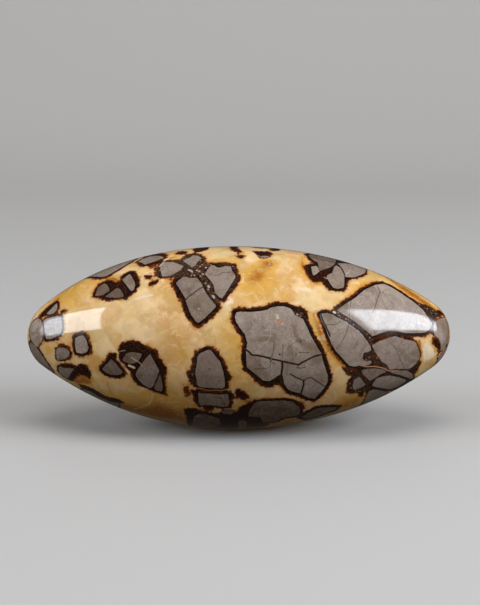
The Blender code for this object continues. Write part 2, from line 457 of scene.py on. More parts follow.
# Grey mudstone on the side that the photograph shows. Each outline is in its pixels, and goes on
# out of sight as stations in millimetres and degrees up from the front. Then come the width of
# the brown rim in millimetres and the tone, from -1 for darker to 1 for lighter.
MUDSTONE = {
    "belly, rosy": (
        [(220.9, 411.5), (226, 409.9), (232.4, 410.2), (235, 412), (231, 414.3), (224, 414)],
        [], 0.15, -0.5),
    "left nose": (
        [(38, 318), (41, 320), (42, 325), (42.4, 331.6), (42.6, 337.5), (41.8, 340.8), (40, 343.4),
         (38, 347.5), (34.8, 345.8), (31.4, 340.4), (29.8, 335), (29.8, 329), (31, 324.8), (33.8, 321)],
        [], 0.35, 0.8),
    "strip under the left nose": (
        [(30.8, 342), (34.5, 345.6), (38, 349.2), (42.6, 356), (46.4, 361.9), (50.6, 367.8),
         (53, 370.5)],
        [(-61, -95), (-64, -112), (-68, -120)], 0.55, 0.0),
    "sliver above the left nose": (
        [(46.4, 314), (57, 303), (57.6, 306), (57, 309.7), (54, 313.1), (50, 314.3)],
        [], 0.6, 0.2),
    "piece under the left light": (
        [(43.5, 320.5), (46, 318.5), (58, 315.5), (61.5, 317), (62.5, 326), (61, 334), (57, 336.5),
         (50.3, 339.3), (46.3, 339), (44.5, 330)],
        [], 0.6, 0.6),
    "left eye": (
        [(56.4, 349.2), (58, 347.8), (63, 347.5), (67, 348.8), (69.6, 352.2), (68.8, 356),
         (65.5, 358.8), (61, 359.8), (57, 359.6), (56.2, 355)],
        [], 0.4, -0.1),
    "right eye": (
        [(75, 338.3), (79.5, 336.2), (83.5, 335.4), (86.4, 340), (88.5, 347.6), (87.3, 351.8),
         (81.8, 353.9), (76.7, 352.6), (75.5, 349), (75, 343)],
        [], 0.85, 0.5),
    "lower left pair": (
        [(58.4, 368), (59.9, 366.2), (64.1, 368.1), (69.1, 368.5), (74.2, 368.1), (71.7, 371.9),
         (69.1, 376.9), (67.4, 378.2), (63.2, 376.1), (59, 371.9)],
        [], 0.5, -0.4),
    "sliver under the lower left": (
        [(83.5, 388.5), (92.5, 392.7), (99.9, 397.3), (107.4, 400.7), (112, 402.2), (119.5, 403.4)],
        [(-40, -84), (-46, -98), (-52, -92)], 0.5, 0.2),
    "upper left cluster, left": (
        [(95, 295.8), (97.8, 287.4), (101, 285), (104.6, 283.4), (107, 284.6), (109, 288.2),
         (109.8, 291.4), (105.8, 293), (103, 295.2), (97.8, 295.8)],
        [], 0.55, -1.2),
    "upper left cluster, lower": (
        [(105, 296.6), (110.6, 292.6), (115.3, 289), (117.3, 287.8), (120.1, 289), (123.3, 293.8),
         (123.3, 297), (117.7, 297.8), (109.8, 297.4)],
        [], 0.55, -1.2),
    "upper left cluster, right": (
        [(122.5, 279.4), (129.7, 273.8), (132, 277), (134.5, 281.8), (135.3, 285.8), (133.7, 289.8),
         (131.3, 291.4), (128, 287.4), (124.1, 282.6)],
        [], 0.55, -0.5),
    "upper left edge": (
        [(96.3, 276.6), (101, 277), (106, 276.2), (112, 273), (118, 269.5), (124, 266), (130, 262.5),
         (134, 260)],
        [(-33, 104), (-38, 120), (-47, 122), (-52, 106)], 0.85, 0.0),
    "upper edge sliver": (
        [(137.7, 261.8), (141.6, 259.4), (146.4, 257.4), (153.6, 255.8), (160.8, 256.2), (164.3, 257.8),
         (157.6, 260.2), (151.2, 262.6), (144.8, 264.6), (141.6, 262.6)],
        [], 0.75, 0.1),
    "upper edge, behind the sliver": (
        [(139, 258), (146, 255.6), (152, 253.6)],
        [(-28, 106), (-30, 119), (-36, 115)], 0.5, 0.0),
    "upper middle, left": (
        [(160, 265), (163.1, 262.4), (172.7, 262), (175.9, 263), (183.5, 266.2), (180.7, 269.8),
         (174.3, 273.8), (170.3, 275.8), (162.3, 276.6), (161.2, 273), (160, 269)],
        [], 0.55, 0.1),
    "upper middle, right": (
        [(182.7, 260.8), (188.6, 258), (193.4, 255.2), (197.4, 255.6), (201.8, 258.2), (197.4, 262.2),
         (195, 265.8), (191.8, 267.4), (186.3, 263.4)],
        [], 0.6, 0.0),
    "kite, left half": (
        [(175.7, 282.9), (183.3, 276.7), (187.4, 277.1), (189.6, 278.2), (196.8, 277.4), (200.8, 282),
         (203.5, 288), (206.1, 292.8), (209.7, 298.1), (215.1, 304.2), (216, 306.6), (213.3, 309.8),
         (205.3, 317.8), (198.1, 323), (196.4, 322), (191.8, 316), (189.2, 310.7), (186, 301.7),
         (184.7, 297.2), (179.3, 288.3)],
        [], 1.25, -0.5),
    "kite, right half": (
        [(204.6, 274), (207.9, 269.3), (211.1, 264.9), (214.2, 265.4), (217.8, 267.7), (220.5, 267.3),
         (225.8, 265.9), (230.7, 266.3), (232.1, 270.9), (235.2, 274.9), (235.7, 277.1), (232.1, 282.9),
         (227.6, 290.1), (224, 295.5), (222.2, 298.3), (219.6, 297.4), (215.1, 292.8), (214.2, 288.3),
         (213.3, 284.7), (209.5, 279.4)],
        [], 1.1, 0),
    "middle slab": (
        [(236, 312.8), (240, 311.5), (250, 312), (260, 311.2), (268, 309.5), (271, 307.5), (278, 306.3),
         (284, 306.3), (290, 308.3), (293, 311), (295, 315), (299, 317), (303, 319), (304.5, 322),
         (307, 327), (309.5, 333), (312, 338), (315, 343), (318, 348), (321, 353), (322.3, 358),
         (324, 364), (326, 370), (328, 376), (328, 381), (325.5, 386), (320.5, 392.5), (314.5, 398.8),
         (309, 398), (301, 393.7), (291, 391), (287.5, 389), (284, 383.5), (283, 376), (281.5, 374),
         (278, 375.5), (273, 379.3), (269, 381.3), (263.5, 380.7), (259, 377), (252, 371.5),
         (247, 367.5), (246, 360), (246, 350), (247.2, 343), (245, 334.5), (240, 328), (236, 321.5),
         (235, 317)],
        [], 1.1, 0.45),
    "tall arch": (
        [(197.5, 357), (199, 354), (203, 352), (206, 350.5), (209, 349.5), (211, 350.5), (214, 354),
         (217, 358), (220, 361.5), (221.5, 366), (223, 371), (224.5, 378), (225, 383), (224.5, 387.5),
         (222, 388.3), (214, 388.3), (206, 387.8), (200, 387), (197, 385), (196.5, 379), (195, 374),
         (196, 368), (197, 362)],
        [], 1.0, -0.3),
    "under the tall arch": (
        [(198.2, 392.6), (203.6, 393.5), (210.7, 393.6), (218.3, 394.4), (227.9, 393.8), (229.6, 401.6),
         (227.9, 406.5), (222.2, 407), (215.8, 405.8), (209.4, 405), (200.4, 405.5), (198.5, 402.2)],
        [], 0.7, -0.5),
    "arch group, left": (
        [(111.3, 358.8), (113.5, 360.8), (118, 366.3), (122.6, 371.6), (121.8, 374), (117, 375.3),
         (110, 374.7), (105, 372), (102.3, 369), (104.5, 366.3), (108.5, 362)],
        [], 0.95, -0.9),
    "arch group, upper": (
        [(122.6, 359.6), (124.5, 356), (126.5, 353.2), (132.3, 352), (141.8, 353.5), (142, 355),
         (138.3, 361.3), (134, 363.5), (129, 363.7), (123.2, 361.3)],
        [], 0.7, -1.1),
    "arch group, right": (
        [(150.3, 353.8), (154.6, 362), (159.4, 371), (157, 377.2), (152.7, 387), (150, 388.3),
         (143.5, 385), (138, 379.5), (135.2, 374.5), (138, 368.8), (142.8, 362.2), (146.6, 357.5)],
        [], 0.75, -0.5),
    "arch group, wedge": (
        [(160, 373.5), (161.7, 379), (162.8, 387), (161.8, 391.8), (157, 390.7), (153.6, 388.3),
         (156.5, 382)],
        [], 0.5, -1),
    "heart, upper left": (
        [(308.4, 255.3), (312, 254), (319.4, 254.5), (326.7, 255.6), (332.6, 257.4), (335.9, 259.2),
         (335.5, 263), (332.6, 266.3), (328.2, 268.1), (322.3, 270.3), (319.8, 270.7), (318.7, 267),
         (317.9, 262.6), (313.5, 260.4), (310.6, 257.8)],
        [], 0.4, -0.8),
    "heart, chip": (
        [(311, 266.6), (316.5, 265.9), (317.9, 267.7), (319.4, 271.4), (316.5, 274), (313.2, 275.8),
         (312.1, 272.1)],
        [], 0.4, 0.3),
    "heart, middle": (
        [(336.3, 265.2), (339.9, 267.4), (342.1, 270.7), (344.3, 275.8), (344.3, 280.9), (344, 287.5),
         (337, 289), (333.3, 287.5), (330.4, 283.8), (328.6, 280.9), (326.6, 278), (326.9, 275.8),
         (328.9, 274), (331.9, 272.9), (333.3, 269.9), (334.1, 267)],
        [], 0.5, -0.1),
    "heart, right": (
        [(337.4, 263.6), (341.4, 263.2), (348.7, 263.8), (356, 265), (361.9, 267), (364.8, 268.4),
         (365.9, 270.7), (364.8, 273.2), (360.4, 275.1), (354.6, 277.3), (345.8, 277.3), (343.6, 273.6),
         (342.1, 269.2), (339.2, 265.9)],
        [], 0.45, 0.2),
    "upper right edge": (
        [(372, 270.3), (380, 273.3), (388, 277.3), (393, 280)],
        [(52, 108), (47, 122), (43, 112)], 0.5, 0.1),
    "large right, upper": (
        [(336.9, 310), (346, 303.5), (355, 298), (365, 289.5), (376, 284.7), (384, 283.8), (390, 286.5),
         (400, 292.5), (407, 297.5), (413, 301.5), (419, 306.5), (423, 310), (426, 314.5), (429.5, 319),
         (432, 324), (430, 329.5), (424, 332.8), (414, 333.2), (405, 333), (397, 331.2), (388, 331.2),
         (380, 333.5), (372, 336.5), (369.7, 333.8), (363.9, 328.9), (355.7, 322.3), (348.4, 317.4),
         (341, 313.3)],
        [], 1, 0.6),
    "large right, left lobe": (
        [(319.9, 313.9), (327, 312.9), (332.8, 314.5), (338.5, 318.2), (345.9, 321.5), (349.2, 324.3),
         (355.7, 328.9), (362.3, 334.6), (367.2, 341.1), (370.5, 346.1), (371.3, 350.8), (368, 352),
         (363.4, 352.8), (362.8, 358.8), (366, 361.3), (371.5, 360.5),
         (371.5, 363.5), (366, 365.6), (362.3, 365.3), (354.1, 366.6), (349.2, 365.7), (343.4, 359.2),
         (338.5, 354.3), (335.2, 350.2), (331.1, 342.8), (327, 332.1), (325.4, 326.4), (321.3, 317.4)],
        [], 0.85, 0.4),
    "large right, right lobe": (
        [(371.9, 345.3), (380, 340.8), (386.5, 338.8), (394.8, 336.2), (403.1, 338.8), (413.3, 341.1),
         (416.1, 342.5), (418, 347.9), (420.1, 353.4), (419.2, 359), (416.1, 363.4), (409.6, 368.8),
         (402.2, 369), (395.7, 369), (389.3, 369.8), (387.9, 365.9), (381.9, 361.8), (377.2, 355.3),
         (373.5, 348.8)],
        [], 0.4, 0.4),
    "large right, under the left lobe": (
        [(361, 370.5), (367, 368.8), (375, 368.3), (383, 369.5), (387, 372), (381, 374), (376, 377.5),
         (370, 381), (367, 378.5), (363, 374.5)],
        [], 0.3, -0.5),
    "lower right strip": (
        [(390, 371.3), (395.7, 370.2), (407.8, 370.7), (412.2, 373.8), (412.9, 379), (408.9, 378),
         (400.4, 375.2), (392, 373.2)],
        [], 0.25, -0.1),
    "lower right oval": (
        [(372.6, 384), (376.3, 378.8), (381.9, 376.6), (389.3, 375.4), (398.5, 377.2), (406.2, 379.4),
         (405, 382.1), (397.6, 386.8), (389.3, 389.3), (381.9, 388.4), (375.4, 386.8), (372.1, 385.6)],
        [], 0.3, 0.3),
    "lower right edge": (
        [(366, 396.5), (369, 391), (374, 389.4), (381, 390.5), (387, 391.7)],
        [(48, -82), (42, -96), (38, -84)], 0.3, -0.2),
    "small dark rimmed piece": (
        [(352.5, 385.4), (354.1, 379.7), (358.2, 376.8), (360.6, 378), (364.8, 383.8), (364.8, 385.4),
         (359, 388.7), (353.3, 389.5)],
        [], 0.7, -0.1),
    "belly slab": (
        [(248.3, 416.3), (248.7, 411.9), (251.5, 407.4), (253.8, 403.5), (257.3, 401.3), (265.6, 401),
         (275.9, 400.6), (284.9, 400.6), (293.8, 401.9), (295.8, 404.8), (299.4, 406.7), (300.1, 409.9),
         (299.4, 413.8), (295.1, 416.3), (284.9, 417), (281, 418.9), (276.5, 421.4), (270.1, 422.4),
         (263.1, 422.4), (261.2, 418.9), (260.2, 417)],
        [], 0.85, -0.8),
    "belly strip": (
        [(301.8, 417), (307.3, 413.3), (315.6, 408.9), (320.8, 407.6), (329.7, 407.3), (337, 407.3),
         (334.2, 409.9), (325.2, 413.1), (315, 416.9), (307.9, 418.7)],
        [], 1.2, -0.8),
    "belly, left": (
        [(194.1, 416.3), (199.2, 413.9), (206.8, 414.5), (213.2, 416.9), (219.4, 418.8), (220.9, 424)],
        [(-9, -70), (-13, -74), (-15.5, -66)], 0.6, -0.7),
    "belly, middle": (
        [(238.8, 421), (243, 419.8), (247, 421.5), (246.5, 426)],
        [(1.5, -66), (-0.5, -67)], 0.4, -0.6),
    "right nose": (
        [(434.5, 322), (439.3, 318.7), (444.8, 317.8), (447.3, 322.9), (448.6, 331.2), (448.2, 337.7),
         (446.4, 344.2), (441.8, 350.6), (440.4, 351.4), (440.8, 344.2), (438.8, 338.6), (434.6, 335.4),
         (433.2, 331), (433.6, 325)],
        [], 0.35, 0.5),
    "strip under the right nose": (
        [(449.3, 339), (447.8, 344.5), (444.5, 350), (441, 354.5), (438.5, 357.5)],
        [(64, -78), (66, -105), (69, -115)], 0.4, 0.0),
    "top middle edge": (
        [(250, 245.8), (256, 247.7), (262, 248.3), (269.5, 248.6)],
        [(13.5, 106), (10, 119), (3, 121), (0, 107)], 0.4, 0.1),
    "top middle chip": (
        [(259, 256.3), (265, 255.7), (270, 256.2), (266, 257.7), (261, 257.7)],
        [], 0.3, -0.2),
}

# Brown patches where there is more of it than a rim, in the same pixels
BROWN = {
    "top edge, far left of middle": [
        (175.5, 252.8), (180, 251), (187, 251), (188, 253.8), (182, 254.8), (176.5, 254.6)],
    "corner of the middle slab": [
        (294, 311.5), (300, 311), (303, 313.5), (303, 318), (298, 316.8), (295, 314.5)],
    "lower speck left of the middle": [
        (143.2, 275.5), (148, 273.8), (152.8, 275.8), (151.8, 279.3), (145, 278.8)],
    "upper speck left of the middle": [
        (148, 266.5), (151, 264.8), (154.5, 266), (153.5, 269.5), (150, 269)],
    "over the upper edge sliver": [
        (140, 259.5), (146, 256.2), (151.2, 253.8), (161.5, 253), (168.7, 255), (165, 257.5),
        (158, 255.8), (150, 256), (143, 258.8)],
    "over the sliver under the lower left": [
        (78.3, 384), (85, 385.2), (92.5, 388.2), (99.9, 392.7), (105.9, 396.4), (114.9, 398),
        (121, 400.3), (124.8, 403), (119, 403.8), (107, 401), (99, 397.5), (90, 392), (82, 388)],
    "gap under the tall arch": [
        (195, 386.5), (203, 388), (215, 388.7), (227, 388), (229, 392), (218, 393.8), (208, 393),
        (198, 392)],
    "belly ground": [
        (183.2, 409), (190, 407.6), (198, 408.5), (203, 411.5), (210, 412.5), (218, 413.5),
        (222, 409.5), (232, 409.5), (236, 411.5), (239, 408), (242.5, 405.5), (249, 404), (249, 417),
        (261, 417.5), (262, 423.5), (270, 424), (262, 430), (200, 430), (188, 426), (186, 417)],
    "between the large pieces": [
        (330, 309.5), (336, 308.8), (345, 315.5), (352, 320.5), (360, 326.5), (366, 332), (372, 337),
        (373, 344), (370, 345.5), (364, 337), (356, 329.5), (348, 323), (340, 318.5), (333, 314)],
    "ground of the lower right pieces": [
        (352, 367), (362, 365.5), (374, 364.5), (386, 368), (398, 368.8), (410, 368.5), (416, 363.5),
        (420.5, 359.5), (421.5, 363), (418, 368.5), (415, 374), (413.5, 380), (405, 385), (396, 389.5),
        (388, 391.5), (378, 393), (368, 397), (364, 391), (369, 387), (365, 380), (359, 374)],
    "notch of the middle slab": [
        (269, 381.7), (273, 379), (278, 375), (282, 373.5), (283, 380), (282, 385), (276, 385.5),
        (271, 384.5)],
    "round the upper middle": [
        (157, 266), (161, 261), (168, 260), (176, 259.8), (180, 258.8), (186.5, 254.5), (193.5, 252.8),
        (201, 254), (206.3, 258.3), (204, 262.5), (200, 268), (192, 272), (186, 277), (178, 279.3),
        (170, 278.5), (162, 279), (157, 277.5), (155.5, 272)],
    "left side of the kite": [
        (171.5, 282), (174.8, 279), (181.1, 275.8), (186, 276), (178, 285), (184, 298), (190, 314),
        (197, 324), (213, 310), (217, 304), (219.3, 306.6), (216.9, 310), (211.5, 315.4),
        (204.4, 321.8), (198.3, 326.4), (195.8, 328.2), (191.6, 324.6), (186.3, 318), (184, 313.3),
        (181.8, 306.2), (179.1, 300.8), (174.5, 291.9), (171.3, 285.6)],
    "round the upper left cluster": [
        (91, 298), (94, 291), (98, 284), (103, 281.5), (108, 279.5), (113, 280.5), (118, 283), (120, 279.5),
        (121, 276), (126, 272.5), (131, 270.5), (135, 271), (138, 275), (140, 280), (139.5, 286),
        (137, 291), (133, 294.5), (129, 297), (127, 300), (120, 300), (113, 301), (107, 302),
        (102, 300), (96, 298.5)],
    "cap of the arch group": [
        (117.2, 350.4), (120.5, 343.3), (125.7, 341), (132.4, 338.8), (136.6, 340), (145.6, 344.2),
        (151.3, 347.3), (155.5, 348.8), (158.3, 352.7), (158.8, 357), (162, 358.4), (163.2, 362.2),
        (166, 365), (167.2, 369.3), (168.2, 373.6), (165.5, 375), (166, 383), (166.4, 390.6),
        (168.3, 395.7), (162.7, 394.8), (154.1, 392), (145.6, 388.2), (139, 386.3), (134.2, 381.5),
        (131, 375.5), (129.8, 371.5), (126.3, 367.5), (122.7, 363.5), (119, 361.3), (118, 357.5),
        (118.5, 353.2)],
    "left of the small arch piece": [
        (97.8, 368.8), (100.2, 365), (105.4, 361.8), (106.3, 357.5), (107.3, 353.4), (112.5, 352),
        (116.5, 353.7), (116.8, 358.4), (121, 362.4), (125.7, 370.5), (126.7, 374.5), (122.9, 378),
        (115.3, 379), (107.7, 376.6), (101.1, 372.8)],
    "seam of the kite": [
        (184.2, 268), (193, 269.5), (199, 265), (204, 261.5), (209, 262.3), (213, 264), (206, 272),
        (206, 276), (210, 281), (213, 285), (214, 291), (217, 296), (220.5, 299.5), (219.5, 305),
        (216, 305), (210, 297), (206, 290), (202, 282), (198, 276), (190, 278), (181, 277)],
    "right side of the kite": [
        (208.8, 262.6), (215.1, 262.2), (225.8, 262.2), (236, 263.5), (237.7, 266.8), (239.3, 274),
        (241.8, 277.6), (239.3, 282), (235, 290.3), (229.4, 293), (226.9, 297.2), (222.2, 301.9),
        (218.7, 301), (222, 296), (234, 278), (231, 268), (218, 266)],
    "round the heart": [
        (303.7, 254.5), (308, 252.6), (314, 252.3), (326, 253.5), (335, 256), (341, 259.5),
        (352, 262.5), (364, 266.5), (368, 271.4), (367, 275), (360.4, 278), (353.1, 279.5),
        (348, 281.6), (347.3, 289), (344.3, 291.9), (335.5, 291.9), (328.9, 290.4), (324.2, 286),
        (321.6, 281.6), (316.5, 283.1), (311.4, 282.4), (308.4, 278), (304.8, 272.1), (302.6, 265.5),
        (308, 264), (312.1, 263), (308.4, 260)],
    "top of the middle slab": [
        (240, 309.5), (246.9, 308.2), (257, 308), (265.6, 306.2), (272.1, 302.4), (277.8, 301),
        (285.2, 302.4), (293.7, 305.2), (299.3, 306.2), (305, 308), (308, 313), (308.5, 320),
        (304.5, 320), (299, 316), (294, 312), (290, 307.8), (284, 306), (278, 306), (271, 307.3),
        (266, 309.5), (255, 311.5), (246, 311.5)],
    "lower left of the middle slab": [
        (252, 374), (257, 375.5), (260, 380), (268, 382), (273, 381), (281, 383.5), (276, 385), (270, 388),
        (264, 387.5), (258, 384), (254, 381.5)],
    "right of the lower left pair": [
        (68.5, 380), (70, 374.5), (72.5, 369.5), (76, 365.5), (80, 363.6), (84.5, 363.6),
        (88.5, 366.2), (91, 372), (91.8, 379.5), (88.6, 379.5), (85.5, 375.8), (81.5, 374.5),
        (78, 376), (75.5, 379.5), (72.5, 381.5)],
    "over the lower left pair": [
        (57, 366.5), (60, 364), (64, 363), (69, 363.3), (74, 364.5), (77, 366), (74.5, 368.3),
        (68, 368.6), (63, 367.8), (59.5, 366)],
    "rust above the left nose": [
        (39, 315.5), (48, 306.5), (57, 300.3), (60, 301.5), (59, 309), (58, 313.5), (50, 315.5), (40, 318.5)],
    "spot beside the left light": [
        (59.5, 311.5), (62, 309.3), (65, 309), (67.5, 311), (65, 313.8), (60.5, 314)],
    "under the left light": [
        (42.5, 318.5), (44.5, 322), (45, 330), (47, 337.5), (50, 339), (50.5, 337.2), (56, 336.6),
        (60, 336.8), (59.5, 340), (53, 341.3), (49.5, 341.3), (44, 342.5), (42.5, 338), (42.5, 326)],
    "over the left eye": [
        (57.3, 344), (60, 343.3), (65, 344.3), (69, 346.5), (72, 351), (72.3, 357), (69, 360.3),
        (66, 360.6), (69, 356), (69.5, 352), (66.5, 348.5), (62, 347.3), (58, 347.6)],
    "round the right eye": [
        (71.5, 336.5), (75, 333), (81, 331.2), (86.5, 332), (89.5, 338), (92, 346), (92, 353),
        (89, 356), (82, 356.5), (77, 355.5), (80, 353.5), (87, 351.5), (88, 346), (86, 339.5),
        (83, 335.5), (76, 337.5), (74, 342), (72.5, 340)],
    "end of the upper left edge": [
        (91.5, 279.5), (94.5, 276.5), (99, 277.2), (106, 277), (112, 274.5), (113, 275.6),
        (106, 278.8), (100, 279.6)],
    "under the upper edge sliver": [
        (136.6, 263), (141, 261.5), (145, 264), (150, 263), (157, 261), (163.5, 258.8), (163.5, 261.5),
        (157.6, 264.5), (149.6, 265.6), (141.6, 267.4), (138.5, 266)],
    "bar left of the upper middle": [
        (154.6, 268), (156.5, 266.5), (158.2, 268), (158, 276.5), (155, 276.8)],
    "speck under the upper middle": [
        (147.5, 283.5), (152.5, 280.2), (159, 279.4), (159.2, 282.8), (153.5, 286.3), (148.5, 286.2)],
    "top edge, left of middle": [
        (192, 249.5), (197, 246.8), (203, 245.8), (208.5, 245.5), (208.5, 249.5), (202, 251.8),
        (195, 252.5)],
    "top middle, left": [
        (228.8, 247.6), (231, 246.2), (235.7, 246), (239.6, 250), (243.6, 252.3), (240, 254),
        (235, 252), (231, 250.5)],
    "top middle, lower left": [
        (235.3, 254.6), (240.4, 254.4), (245.6, 256), (243.8, 258.4), (238.3, 258.4)],
    "top middle, right": [
        (250, 250.2), (259, 251.3), (269.3, 251.3), (273.3, 253), (269.8, 257), (265.6, 258.8),
        (260.5, 257), (256.8, 254.8)],
    "top middle, right edge": [
        (268.5, 248), (274, 246), (280, 247), (280, 250.3), (275, 251.3), (269, 250.6)],
    "left of the tall arch": [
        (187, 371), (190, 370), (192, 364), (191, 359), (194, 357), (194.5, 349), (197, 350), (199, 353),
        (196.5, 360), (195, 372), (196, 380), (197, 386.5), (191, 385), (189, 380), (186, 374)],
    "right of the tall arch": [
        (215, 352), (219, 350), (221.5, 350), (218, 353), (222, 357), (225, 362), (227, 368), (230, 372),
        (232, 376), (233.5, 378), (230, 380.5), (228, 382), (228, 388), (225, 388), (225, 380),
        (223, 370), (220, 361)],
    "dark blob beside the arch": [
        (235, 389), (239, 388.4), (243.2, 390.2), (249.2, 396), (248.4, 400.3), (242, 399.8),
        (235.6, 397.8)],
    "mark left of the arch": [
        (183.3, 384.5), (187.3, 384), (189, 389), (189.2, 397), (184.3, 397.2), (183.6, 391)],
    "left of the piece under the arch": [
        (189.6, 391.3), (193, 389.2), (198, 389.5), (199, 398), (199.5, 406), (196, 404.5),
        (193.5, 400.5), (192.5, 395)],
    "right of the piece under the arch": [
        (226, 390.5), (231.5, 390.5), (234.5, 395.5), (233.8, 402), (231, 408.5), (227.5, 408),
        (230, 400), (229, 394.5)],
    "under the piece under the arch": [
        (202.5, 406.5), (209, 404.8), (215, 406.5), (214.5, 409.5), (209, 411), (204, 410.2)],
    "belly, dark left end": [
        (184, 410), (190, 408.5), (199, 410), (202, 412), (194, 415), (192, 420), (187, 416)],
    "belly, seam": [(210, 412.5), (218, 413.5), (224, 416.5), (229, 424), (223, 426), (219, 420), (212, 415)],
    "belly, speck": [(228, 414.5), (231, 413.3), (234, 415), (238, 417), (240, 421), (236, 423), (232, 418)],
    "belly, left of the slab": [
        (242, 406), (246, 403.5), (252, 401), (256, 398.5), (258, 401), (252, 405), (249, 410), (248, 418),
        (258, 418), (261, 421), (262, 426), (250, 427), (247, 421), (243, 417)],
    "between the belly pieces": [
        (293, 399.8), (298, 401), (303, 403.5), (305.5, 407), (304, 409.5), (300.5, 409), (299, 406),
        (295.5, 404)],
    "between the lobes": [
        (370, 345.5), (373, 348), (376.5, 355), (381, 361), (387, 365.5), (390, 370), (386, 369),
        (378, 366.5), (372.5, 365.8), (372.3, 359), (371.5, 352)],
    "blotch on the left lobe": [
        (372.5, 350), (367.5, 351), (362.4, 352), (361.8, 359.4), (366, 362.3), (372.5, 361.5)],
    "over the right lobe": [
        (370, 340), (375, 337), (380, 335.5), (386.5, 333.2), (394.8, 332.8), (405, 334.6),
        (413, 337.5), (416, 342.5), (408, 340.5), (398, 337), (388, 338.5), (378, 342), (372, 345.5)],
    "over the small dark rimmed piece": [
        (341.8, 365.5), (347, 366.5), (352, 368.5), (358, 371), (363, 375), (367, 380), (371, 385),
        (376, 386.5), (376, 388.5), (369, 388), (364.5, 391.5), (363, 397), (358, 396.5), (357, 393),
        (351, 394), (346, 393), (346.5, 383), (350.5, 376.5), (346, 374.5), (343, 370)],
    "right end of the large piece": [
        (413, 300.3), (419, 302), (426, 304.5), (432, 307.5), (438, 312), (442.5, 317), (437.5, 318.3),
        (434.5, 322), (431.5, 321.5), (428, 315), (423, 309.5), (416, 304.5)],
    "left of the right nose": [
        (431.9, 338), (435, 336.5), (438.5, 338.5), (440.8, 344), (440.3, 352), (437, 357.5),
        (437.5, 350), (436.5, 347), (433, 346.5), (432, 342)],
    "top of the right nose": [(434, 311), (438, 309.5), (443, 313), (445, 316), (440, 317), (437, 318)],
}

# Brown patches that are full of small pale chips, and how full
CHIPPED = {
    "right end of the large piece": 0.3,
    "seam of the kite": 0.6,
    "round the upper middle": 0.4,
    "corner of the middle slab": 0.9,
    "between the large pieces": 0.45,
    "ground of the lower right pieces": 0.2,
    "between the lobes": 0.5,
    "blotch on the left lobe": 0.4,
    "over the small dark rimmed piece": 0.35,
    "right side of the kite": 0.25,
    "left of the tall arch": 0.3,
}

